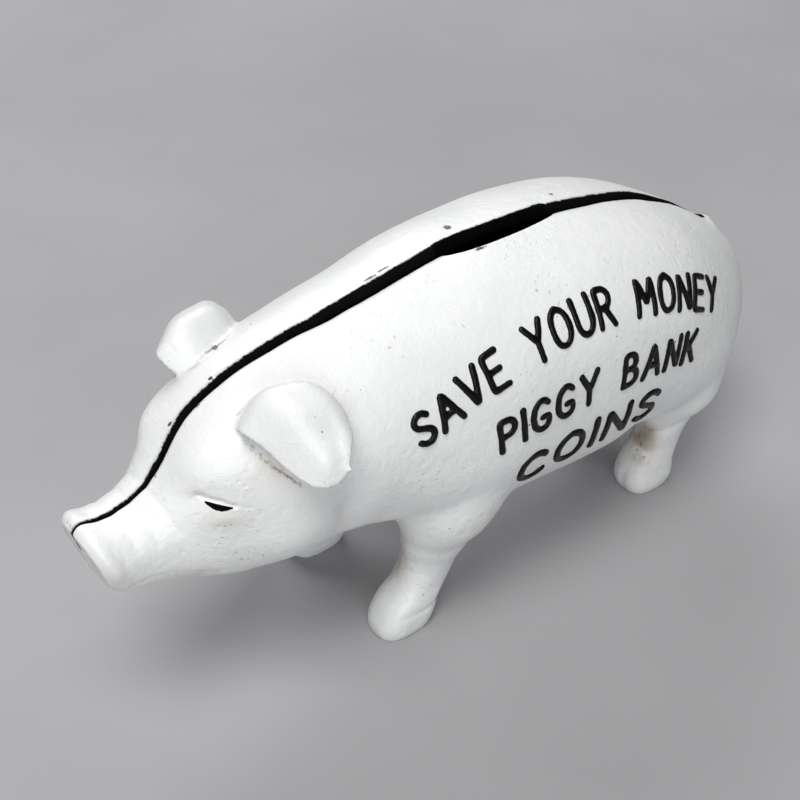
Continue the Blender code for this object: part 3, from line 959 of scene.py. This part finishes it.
def rounded(path):
    """Stroke with small steps and eased corners."""
    path = np.array(path, float)
    steps = np.linalg.norm(np.diff(path, axis=0), axis=1)
    knots = np.concatenate([[0.0], np.cumsum(steps)])
    count = max(6, int(knots[-1] / 0.06))
    spots = np.linspace(0.0, knots[-1], count)
    line = np.stack([np.interp(spots, knots, path[:, axis]) for axis in range(2)], axis=1)
    for _ in range(2):
        line[1:-1] = 0.5 * line[1:-1] + 0.25 * (line[:-2] + line[2:])
    return line


def line_strokes(words, baseline, height, space):
    """Strokes of one line as lists of x, baseline z and height up the flank."""
    base = curve_rows(baseline, baseline, 200, 0.0)
    run = np.concatenate([[0.0], np.cumsum(np.linalg.norm(np.diff(base, axis=0), axis=1))])
    widths = [height * (0.45 if letter == " " else GLYPHS[letter][1]) for letter in words]
    natural = sum(widths) + space * (len(words) - 1)
    stretch = run[-1] / natural
    strokes = []
    place = 0.0
    for letter, width in zip(words, widths):
        if letter != " ":
            for path in GLYPHS[letter][0]:
                line = rounded(path) * height
                along = (place + line[:, 0]) * stretch
                x = np.interp(along, run, base[:, 0])
                z = np.interp(along, run, base[:, 1])
                middle = (place + width / 2.0) * stretch
                before = max(middle - 4.0, 0.0)
                after = min(middle + 4.0, run[-1])
                rise = np.interp(after, run, base[:, 1]) - np.interp(before, run, base[:, 1])
                across = np.interp(after, run, base[:, 0]) - np.interp(before, run, base[:, 0])
                tilt = math.atan2(rise, across) * 0.8
                x = x - np.sin(tilt) * line[:, 1]
                strokes.append(np.stack([x, z, np.cos(tilt) * line[:, 1]], axis=1))
        place += width + space
    return strokes


def on_flank(tree, stroke):
    """Points and normals of a stroke on the left flank."""
    places = []
    normals = []
    for x, z, up in stroke:
        foot = tree.ray_cast(Vector((x, -90.0, z)) * MM, Vector((0.0, 1.0, 0.0)))[0]
        flank = math.atan2(foot.z / MM - FLANK_CENTRE_Z, -foot.y / MM) + up / 47.0
        out = Vector((0.0, -math.cos(flank), math.sin(flank)))
        start = (Vector((x, 0.0, FLANK_CENTRE_Z)) + out * 90.0) * MM
        spot, normal = tree.ray_cast(start, -out)[:2]
        places.append(np.array(spot) / MM)
        normals.append(np.array(normal))
    normals = np.array(normals)
    for _ in range(6):
        normals[1:-1] = 0.5 * normals[1:-1] + 0.25 * (normals[:-2] + normals[2:])
    normals /= np.linalg.norm(normals, axis=1, keepdims=True)
    return np.array(places), normals


def stroke_solid(places, normals, half_width, seed):
    """Half-round bead along one stroke with round ends."""
    ahead = np.gradient(places, axis=0)
    ahead /= np.linalg.norm(ahead, axis=1, keepdims=True)
    side = np.cross(normals, ahead)
    wobble = 1.0 + 0.12 * lattice_noise(places, 3.1, seed)
    angle = np.linspace(0.0, 2.0 * math.pi, 20, endpoint=False)
    up = np.where(np.sin(angle) > 0.0, STROKE_HEIGHT, STROKE_ROOT) * np.sin(angle)
    flat = np.sign(np.cos(angle)) * np.abs(np.cos(angle)) ** 0.8
    flats = [np.outer(flat, across) * half_width * size for across, size in zip(side, wobble)]
    shapes = [shape + np.outer(up, normal) for shape, normal in zip(flats, normals)]
    rings = []
    for back in (1.0, 0.85, 0.5):
        swell = math.sqrt(1.0 - back * back) + 0.02
        rings.append(places[0] - ahead[0] * half_width * back + swell * shapes[0])
    for spot, shape in zip(places, shapes):
        rings.append(spot + shape)
    for back in (0.5, 0.85, 1.0):
        swell = math.sqrt(1.0 - back * back) + 0.02
        rings.append(places[-1] + ahead[-1] * half_width * back + swell * shapes[-1])
    return loft("stroke", rings)


def make_lettering(tree):
    """Raised lettering on the left flank as one cast bead work."""
    solids = []
    for words, baseline, height, space, half_width in LINES:
        for stroke in line_strokes(words, baseline, height, space):
            places, normals = on_flank(tree, stroke)
            solids.append(stroke_solid(places, normals, half_width, len(solids)))
    letters = merge("left_flank_lettering", solids)
    bake_modifier(letters, "REMESH", mode="VOXEL", voxel_size=LETTER_VOXEL * MM, adaptivity=0.0)
    points = points_of(letters)
    points = relax(points, edges_of(letters), np.ones(len(points)), 3)
    place_points(letters, points)
    points = points + normals_of(letters) * 0.05 * lattice_noise(points, 1.1, 8)[:, None]
    place_points(letters, points)
    shade(letters, LETTER_SMOOTH_ANGLE)
    return letters


# ------------------------------------------------------------------ screw and washer


def make_washer():
    """Washer with eased edges."""
    low = RECESS_FLOOR + SCREW_CLEARANCE
    high = low + WASHER_HEIGHT
    inner = SCREW_RADIUS + SCREW_CLEARANCE
    outline = (
        (inner, low + 0.15), (inner + 0.15, low), (WASHER_RADIUS - 0.25, low), (WASHER_RADIUS, low + 0.25),
        (WASHER_RADIUS, high - 0.3), (WASHER_RADIUS - 0.3, high), (inner + 0.3, high), (inner, high - 0.3),
    )
    steps = 96
    points = []
    faces = []
    for step in range(steps):
        angle = 2.0 * math.pi * step / steps
        for radius, y in outline:
            points.append((SCREW_X + radius * math.cos(angle), y, SCREW_Z + radius * math.sin(angle)))
    count = len(outline)
    for step in range(steps):
        following = (step + 1) % steps
        for corner in range(count):
            other = (corner + 1) % count
            near = step * count
            far = following * count
            faces.append((near + corner, near + other, far + other, far + corner))
    made = mesh_object("plain_washer", points, faces)
    shade(made, WASHER_SMOOTH_ANGLE)
    return made


def make_screw():
    """Slotted screw with a cut thread towards its tip."""
    seat = RECESS_FLOOR + WASHER_HEIGHT + 2.0 * SCREW_CLEARANCE
    steps = 48
    per_turn = 10
    tip = -SCREW_REACH
    length = THREAD_LENGTH
    rings = []
    angle = np.linspace(0.0, 2.0 * math.pi, steps, endpoint=False)
    for radius, y in ((0.6, tip), (SCREW_RADIUS * 0.7, tip + 0.02)):
        rings.append(circle(SCREW_X, y, SCREW_Z, radius, steps))
    for y in np.arange(tip + 0.1, tip + length, THREAD_PITCH / per_turn):
        phase = (y / THREAD_PITCH + angle / (2.0 * math.pi)) % 1.0
        tooth = 1.0 - np.abs(2.0 * phase - 1.0)
        tooth = np.clip(1.35 * tooth - 0.1, 0.0, 1.0)
        fade = min(1.0, (tip + length - y) / 2.0)
        lead = min(1.0, 0.75 + (y - tip) / 5.0)
        radius = (SCREW_RADIUS - THREAD_DEPTH * (1.0 - tooth) * fade) * lead
        rings.append(circle(SCREW_X, y, SCREW_Z, radius, steps))
    outline = (
        (SCREW_RADIUS, tip + length + 0.1), (SCREW_RADIUS, seat - 0.4), (SCREW_RADIUS + 0.25, seat),
        (HEAD_RADIUS - 0.25, seat), (HEAD_RADIUS, seat + 0.25), (HEAD_RADIUS, seat + HEAD_HEIGHT * 0.55),
        (HEAD_RADIUS * 0.96, seat + HEAD_HEIGHT * 0.7), (HEAD_RADIUS * 0.84, seat + HEAD_HEIGHT * 0.86),
        (HEAD_RADIUS * 0.6, seat + HEAD_HEIGHT * 0.96), (HEAD_RADIUS * 0.2, seat + HEAD_HEIGHT),
    )
    for radius, y in outline:
        rings.append(circle(SCREW_X, y, SCREW_Z, radius, steps))
    made = loft("slotted_screw", rings)
    low = (SCREW_X - HEAD_RADIUS * 2.0, seat + HEAD_HEIGHT - HEAD_SLOT_DEPTH, SCREW_Z - HEAD_SLOT_WIDTH / 2.0)
    high = (SCREW_X + HEAD_RADIUS * 2.0, seat + HEAD_HEIGHT * 2.0, SCREW_Z + HEAD_SLOT_WIDTH / 2.0)
    combine(made, block("driver_slot", low, high), "DIFFERENCE")
    shade(made, SCREW_SMOOTH_ANGLE)
    return made


# ------------------------------------------------------------------ materials


class Shader:
    """Short way to wire shader nodes."""

    def __init__(self, name):
        self.material = bpy.data.materials.new(name)
        self.material.use_nodes = True
        self.tree = self.material.node_tree
        self.body = self.tree.nodes["Principled BSDF"]
        self.coordinates = self.tree.nodes.new("ShaderNodeTexCoord").outputs["Object"]

    def node(self, kind, inputs=(), **settings):
        made = self.tree.nodes.new(kind)
        for key, value in settings.items():
            setattr(made, key, value)
        for key, value in dict(inputs).items():
            if isinstance(value, bpy.types.NodeSocket):
                self.tree.links.new(value, made.inputs[key])
            else:
                made.inputs[key].default_value = value
        return made

    def noise(self, scale, detail=3.0, roughness=0.55):
        inputs = {"Vector": self.coordinates, "Scale": scale, "Detail": detail, "Roughness": roughness}
        return self.node("ShaderNodeTexNoise", inputs).outputs["Fac"]

    def math(self, operation, first, second=0.0, third=0.0, clamp=False):
        inputs = {0: first, 1: second, 2: third}
        return self.node("ShaderNodeMath", inputs, operation=operation, use_clamp=clamp).outputs[0]

    def times(self, first, second, clamp=False):
        return self.math("MULTIPLY", first, second, clamp=clamp)

    def plus(self, first, second, clamp=False):
        return self.math("ADD", first, second, clamp=clamp)

    def minus(self, first, second):
        return self.math("SUBTRACT", first, second)

    def band(self, value, low, high):
        """0 below low, 1 above high, smooth between."""
        inputs = {"Value": value, "From Min": low, "From Max": high, "To Min": 0.0, "To Max": 1.0}
        made = self.node("ShaderNodeMapRange", inputs, interpolation_type="SMOOTHSTEP")
        return made.outputs["Result"]

    def mix(self, share, first, second):
        made = self.node("ShaderNodeMix", {"Factor": share}, data_type="RGBA")
        for socket, value in ((made.inputs[6], first), (made.inputs[7], second)):
            if isinstance(value, bpy.types.NodeSocket):
                self.tree.links.new(value, socket)
            else:
                socket.default_value = (*value, 1.0)
        return made.outputs[2]

    def attribute(self, name):
        return self.node("ShaderNodeAttribute", attribute_name=name).outputs["Fac"]

    def link(self, value, socket):
        self.tree.links.new(value, self.body.inputs[socket])

    def bump(self, height, distance, strength):
        inputs = {"Height": height, "Distance": distance, "Strength": strength}
        return self.node("ShaderNodeBump", inputs).outputs["Normal"]


WHITE = (0.79, 0.80, 0.79)
WHITE_HIGH = (0.84, 0.85, 0.845)
# near-black: paint of the eye and the seam, also painted shade of the seam gap and the inside
BLACK_PAINT_AND_SHADE = (0.003, 0.003, 0.0035)
GREY_EDGE = (0.30, 0.31, 0.33)
# dirt colours, also used for painted shade in the recesses, creases and pits
DIRT_AND_SHADE_COLOUR = (0.42, 0.33, 0.22)
BROWN_DIRT_AND_SHADE = (0.25, 0.18, 0.11)
DARK_DIRT_AND_SHADE = (0.13, 0.095, 0.06)
IRON = (0.055, 0.050, 0.047)

EYE_CENTRE = Vector((-102.7, -20.8, 92.0)) * MM
EYE_ALONG = Vector((6.1, -5.2, -2.3)).normalized()
EYE_UP = Vector((0.1, 0.52, 1.0)) - EYE_ALONG * Vector((0.1, 0.52, 1.0)).dot(EYE_ALONG)
EYE_UP.normalize()
EYE_HALF_LENGTH = 4.2 * MM
EYE_DEPTH = 1.55 * MM


def dot(shader, vector):
    """Dot product of the object coordinates with a fixed vector."""
    made = shader.node("ShaderNodeVectorMath", {0: shader.coordinates, 1: vector}, operation="DOT_PRODUCT")
    return made.outputs["Value"]


def eye_mask(shader, side):
    """Almond of black paint under the upper lid."""
    flip = Vector((1.0, -side, 1.0))
    centre = EYE_CENTRE * flip
    along_vector = EYE_ALONG * flip
    up_vector = EYE_UP * flip
    along = shader.minus(dot(shader, along_vector), along_vector.dot(centre))
    up = shader.minus(dot(shader, up_vector), up_vector.dot(centre))
    share = shader.math("DIVIDE", along, EYE_HALF_LENGTH)
    square = shader.times(share, share)
    low = shader.times(shader.minus(1.0, square), -EYE_DEPTH)
    edge = shader.times(shader.minus(shader.noise(1500.0, 2.0), 0.5), 0.0006)
    above = shader.plus(shader.minus(up, low), edge)
    below = shader.minus(0.0005, up)
    inner = shader.math("MINIMUM", above, below)
    mask = shader.band(inner, -0.00006, 0.00012)
    near = shader.math("LESS_THAN", square, 1.0)
    distance = shader.node("ShaderNodeVectorMath", {0: shader.coordinates, 1: centre}, operation="DISTANCE")
    close = shader.math("LESS_THAN", distance.outputs["Value"], 0.008)
    return shader.times(shader.times(mask, near), close)


# Chips near the seam of each half: place in millimetres and reach along x, y, z
CHIPS = {
    LEFT: (((7.2, -7.9, 129.9), (2.2, 0.7, 2.0)), ((-95.7, -1.6, 112.0), (0.9, 0.8, 2.0))),
    RIGHT: (
        ((-28.0, 4.1, 127.0), (2.6, 0.6, 2.0)),
        ((-22.4, 4.5, 127.9), (2.4, 0.55, 2.0)),
        ((7.0, 8.3, 129.8), (1.5, 1.7, 2.0)),
        ((52.5, 7.4, 126.2), (0.8, 0.8, 2.0)),
        ((-79.0, 14.6, 117.4), (1.1, 1.0, 1.2)),
        ((-103.0, 2.6, 107.0), (0.9, 0.7, 2.0)),
    ),
}


def chip_mark(shader, spot, reach):
    """Ragged mark around one place."""
    shift = shader.node(
        "ShaderNodeVectorMath", {0: shader.coordinates, 1: Vector(spot) * MM}, operation="SUBTRACT"
    ).outputs["Vector"]
    size = [1.0 / (MM * length) for length in reach]
    scaled = shader.node("ShaderNodeVectorMath", {0: shift, 1: size}, operation="MULTIPLY").outputs["Vector"]
    away = shader.node("ShaderNodeVectorMath", {0: scaled}, operation="LENGTH").outputs["Value"]
    ragged = shader.times(shader.minus(shader.noise(1100.0, 3.0, 0.7), 0.5), 2.6)
    return shader.band(shader.plus(away, ragged), 1.0, 0.75)


def enamel(name, side):
    """White enamel over sand-cast iron with black seam paint, grime, chips and pits, and painted shade in the
    seam gap, the inside, the creases and the pits.
    """
    shader = Shader(name)
    cloud = shader.noise(28.0, 4.0)
    colour = shader.mix(shader.band(cloud, 0.35, 0.7), WHITE, WHITE_HIGH)
    coarse = shader.noise(330.0, 3.0, 0.6)
    fine = shader.noise(1400.0, 2.0, 0.6)
    dirt_and_shade = shader.attribute("dirt_and_shade")
    hollow = shader.band(shader.attribute("hollow"), 0.05, 0.35)
    # warm stains: dirt and painted shade in the recesses
    stain_and_shade = shader.times(dirt_and_shade, shader.band(shader.noise(150.0, 5.0, 0.65), 0.25, 0.75))
    stain_and_shade = shader.plus(stain_and_shade, shader.times(dirt_and_shade, 0.45), clamp=True)
    colour = shader.mix(shader.times(stain_and_shade, 0.62), colour, DIRT_AND_SHADE_COLOUR)
    # darkest where the spots are strong: dirt and painted shade
    deep_dirt_and_shade = shader.times(shader.band(dirt_and_shade, 0.6, 1.7), shader.band(shader.noise(90.0, 4.0), 0.2, 0.7))
    colour = shader.mix(shader.times(deep_dirt_and_shade, 0.7), colour, DARK_DIRT_AND_SHADE)
    # painted shade and dirt in every concave crease
    crease_dirt_and_shade = shader.times(hollow, shader.plus(dirt_and_shade, 0.12, clamp=True), clamp=True)
    colour = shader.mix(shader.times(crease_dirt_and_shade, 0.8), colour, DARK_DIRT_AND_SHADE)
    grain = shader.times(shader.minus(shader.noise(900.0, 4.0, 0.75), 0.5), 2.2)
    # brown lines with a dark middle along the creases: grime and painted shade
    settled_grime_and_shade = shader.attribute("grime_and_shade")
    grime_and_shade = shader.band(shader.plus(settled_grime_and_shade, grain), 0.55, 1.15)
    colour = shader.mix(shader.times(grime_and_shade, 0.6), colour, BROWN_DIRT_AND_SHADE)
    colour = shader.mix(shader.times(shader.band(settled_grime_and_shade, 0.86, 0.97), 0.75), colour, DARK_DIRT_AND_SHADE)
    # pits of the sand casting, some dark at the bottom: dirt and painted shade in the pits
    cell_inputs = {"Vector": shader.coordinates, "Scale": 380.0}
    cells = shader.node("ShaderNodeTexVoronoi", cell_inputs).outputs["Distance"]
    patch = shader.plus(shader.noise(45.0, 3.0), shader.times(dirt_and_shade, 0.15))
    size = shader.times(shader.band(patch, 0.42, 0.72), 0.24)
    hole = shader.band(shader.minus(size, cells), -0.03, 0.06)
    dark_pit_dirt_and_shade = shader.times(hole, shader.band(shader.noise(95.0, 2.0), 0.54, 0.72))
    colour = shader.mix(shader.times(dark_pit_dirt_and_shade, 0.55), colour, DARK_DIRT_AND_SHADE)
    # seam band: black paint, painted darker as the shadow in the gap, soft and speckled towards the white
    ragged = shader.times(shader.minus(shader.noise(700.0, 4.0, 0.7), 0.5), 1.5)
    slow = shader.times(shader.minus(shader.noise(90.0, 3.0), 0.5), 1.3)
    band_value = shader.attribute("band")
    if side > 0.0:
        wander = shader.plus(ragged, slow)
        halo_reach = (1.3, 0.2)
        core_reach = (0.35, -0.25)
    else:
        wander = shader.times(ragged, 0.4)
        halo_reach = (0.15, 0.0)
        core_reach = (0.12, -0.25)
    loose = shader.plus(band_value, wander)
    halo = shader.band(loose, *halo_reach)
    core = shader.band(loose, *core_reach)
    colour = shader.mix(shader.times(halo, 0.35), colour, GREY_EDGE)
    colour = shader.mix(core, colour, BLACK_PAINT_AND_SHADE)
    # chips through to the iron near the seam
    chip_zone = shader.minus(1.0, shader.band(band_value, 0.5, 4.0))
    chip_field = shader.plus(shader.noise(260.0, 3.0, 0.6), shader.times(chip_zone, 0.07))
    chip = shader.band(chip_field, 0.765, 0.78)
    for spot, reach in CHIPS[side]:
        chip = shader.math("MAXIMUM", chip, chip_mark(shader, spot, reach))
    chip = shader.times(chip, shader.minus(1.0, core))
    colour = shader.mix(chip, colour, IRON)
    eye = eye_mask(shader, side)
    colour = shader.mix(eye, colour, BLACK_PAINT_AND_SHADE)
    core = shader.math("MAXIMUM", core, eye)
    # near-black inside: dark iron with painted shade of the cavity and the seam gap
    inside = shader.attribute("inside")
    colour = shader.mix(inside, colour, BLACK_PAINT_AND_SHADE)
    shader.link(colour, "Base Color")
    rough = shader.math("MULTIPLY_ADD", shader.noise(120.0, 3.0), 0.16, 0.3)
    rough = shader.math("MULTIPLY_ADD", stain_and_shade, 0.25, rough)
    rough = shader.math("MULTIPLY_ADD", shader.math("MAXIMUM", inside, core), 0.4, rough)
    shader.link(rough, "Roughness")
    shader.link(shader.math("MULTIPLY_ADD", core, -0.12, 0.12), "Coat Weight")
    shader.link(shader.math("MULTIPLY_ADD", core, -0.47, 0.5), "Specular IOR Level")
    shader.body.inputs["Coat Roughness"].default_value = 0.18
    relief_height = shader.math("MULTIPLY_ADD", fine, 0.3, shader.times(coarse, 0.7))
    relief_height = shader.minus(relief_height, shader.times(hole, 0.45))
    relief_height = shader.minus(relief_height, shader.times(chip, 0.6))
    shader.link(shader.bump(relief_height, 0.00045, 0.8), "Normal")
    return shader.material


def letter_paint():
    """Hand-laid black paint, slightly glossy."""
    shader = Shader("letter_black")
    tone = shader.band(shader.noise(260.0, 4.0, 0.6), 0.3, 0.8)
    colour = shader.mix(tone, (0.002, 0.002, 0.0024), (0.006, 0.0064, 0.007))
    worn = shader.band(shader.noise(520.0, 3.0, 0.7), 0.73, 0.79)
    colour = shader.mix(shader.times(worn, 0.6), colour, (0.22, 0.22, 0.22))
    shader.link(colour, "Base Color")
    rough = shader.math("MULTIPLY_ADD", shader.noise(300.0, 3.0), 0.25, 0.2)
    shader.link(rough, "Roughness")
    shader.body.inputs["Specular IOR Level"].default_value = 0.2
    shader.link(shader.bump(shader.noise(900.0, 3.0, 0.6), 0.0002, 0.8), "Normal")
    return shader.material


def steel(name, base, darker):
    """Old steel with patchy tone, fine bumps and a little rust."""
    shader = Shader(name)
    patch = shader.band(shader.noise(320.0, 4.0, 0.65), 0.4, 0.7)
    colour = shader.mix(patch, base, darker)
    rust = shader.band(shader.noise(700.0, 4.0, 0.7), 0.6, 0.72)
    colour = shader.mix(shader.times(rust, 0.55), colour, (0.20, 0.10, 0.05))
    shader.link(colour, "Base Color")
    shader.link(shader.minus(1.0, shader.times(rust, 0.7)), "Metallic")
    shader.link(shader.math("MULTIPLY_ADD", patch, 0.22, 0.3), "Roughness")
    shader.link(shader.bump(shader.noise(1600.0, 3.0, 0.6), 0.00005, 0.7), "Normal")
    return shader.material


def floor_material():
    """Plain pale matt ground."""
    shader = Shader("pale_ground")
    tone = shader.band(shader.noise(5.0, 4.0), 0.3, 0.7)
    shader.link(shader.mix(tone, (0.335, 0.331, 0.341), (0.37, 0.365, 0.376)), "Base Color")
    shader.body.inputs["Roughness"].default_value = 0.75
    return shader.material


def dress(target, material):
    """Give the piece its one material."""
    target.data.materials.clear()
    target.data.materials.append(material)


# ------------------------------------------------------------------ build the pieces

left_half = raw_half("left_half_shell", NO_SPLAY, 0.0)
right_half = raw_half("right_half_shell", FAR_LEG_SPLAY, FAR_EAR_SAG)
soften_seam(left_half, LEFT, LEFT_FALL, 5)
soften_seam(right_half, RIGHT, RIGHT_FALL, 6)
mirror(right_half)

roughen(left_half, 11)
left_skin = tree_of(left_half)
lettering = make_lettering(left_skin)
hollow_out(left_half, LEFT)
finish_left(left_half)

roughen(right_half, 23)
right_skin = tree_of(right_half)
hollow_out(right_half, RIGHT)
finish_right(right_half)

for half, side, skin_tree in ((left_half, LEFT, left_skin), (right_half, RIGHT, right_skin)):
    flatten_soles(half)
    paint_masks(half, skin_tree, side)
    shade(half, HALF_SMOOTH_ANGLE)

washer = make_washer()
screw = make_screw()

dress(left_half, enamel("left_enamel_paint", LEFT))
dress(right_half, enamel("right_enamel_paint", RIGHT))
dress(lettering, letter_paint())
dress(washer, steel("washer_metal", (0.46, 0.45, 0.43), (0.30, 0.29, 0.28)))
dress(screw, steel("screw_metal", (0.42, 0.41, 0.39), (0.26, 0.25, 0.24)))

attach(left_half, "left_half")
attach(lettering, "left_half")
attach(right_half, "right_half")
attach(washer, "washer")
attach(screw, "screw")
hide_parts("left_half_casting")
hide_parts("right_half_casting")
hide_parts("screw_washer")
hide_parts("body_screw")

# ------------------------------------------------------------------ ground, light and camera

FLOOR_REACH = 3e3
corners = [(x * FLOOR_REACH, y * FLOOR_REACH, 0.0) for x, y in ((-1, -1), (1, -1), (1, 1), (-1, 1))]
floor = mesh_object("ground", corners, [(0, 1, 2, 3)])
dress(floor, floor_material())


def area_light(name, place, target, size, power, colour):
    """Soft rectangular light aimed at a point."""
    data = bpy.data.lights.new(name, "AREA")
    data.shape = "RECTANGLE"
    data.size = size[0]
    data.size_y = size[1]
    data.energy = power
    data.color = colour
    made = bpy.data.objects.new(name, data)
    bpy.context.scene.collection.objects.link(made)
    made.location = place
    direction = Vector(target) - Vector(place)
    made.rotation_euler = direction.to_track_quat("-Z", "Y").to_euler()


# Soft lights: name, place, width and height, power, colour
LIGHTS = (
    ("key", (-0.8, -0.5, 2.3), (1.2, 1.2), 48.5, (1.0, 0.995, 0.985)),
    ("front_fill", (-1.2, -1.9, 0.9), (1.5, 1.1), 22.0, (0.96, 0.98, 1.0)),
    ("back_rim", (0.7, 1.7, 1.5), (1.6, 1.0), 28.0, (0.98, 0.99, 1.0)),
)
LIGHT_TARGET = (0.0, 0.0, 0.07)
for light_name, place, size, power, tint in LIGHTS:
    area_light(light_name, place, LIGHT_TARGET, size, power, tint)

world = bpy.data.worlds.new("studio")
world.use_nodes = True
world.node_tree.nodes["Background"].inputs["Color"].default_value = (0.93, 0.95, 1.0, 1.0)
world.node_tree.nodes["Background"].inputs["Strength"].default_value = 0.06
bpy.context.scene.world = world
bpy.context.scene.view_settings.view_transform = "Standard"

CAMERA_AZIMUTH = math.radians(-38.44)
CAMERA_ELEVATION = math.radians(38.47)
CAMERA_PLACE = Vector((-246.64, -286.67, 367.61)) * MM
CAMERA_FIELD = math.radians(32.0)

back = Vector(
    (
        math.sin(CAMERA_AZIMUTH) * math.cos(CAMERA_ELEVATION),
        -math.cos(CAMERA_AZIMUTH) * math.cos(CAMERA_ELEVATION),
        math.sin(CAMERA_ELEVATION),
    )
)
right = Vector((math.cos(CAMERA_AZIMUTH), math.sin(CAMERA_AZIMUTH), 0.0))
up = back.cross(right)
camera_data = bpy.data.cameras.new("camera")
camera_data.sensor_width = 36.0
camera_data.lens = 18.0 / math.tan(CAMERA_FIELD / 2.0)
camera_data.clip_start = 0.01
camera = bpy.data.objects.new("camera", camera_data)
bpy.context.scene.collection.objects.link(camera)
turn = Matrix((right, up, back)).transposed().to_4x4()
camera.matrix_world = Matrix.Translation(CAMERA_PLACE) @ turn
bpy.context.scene.camera = camera
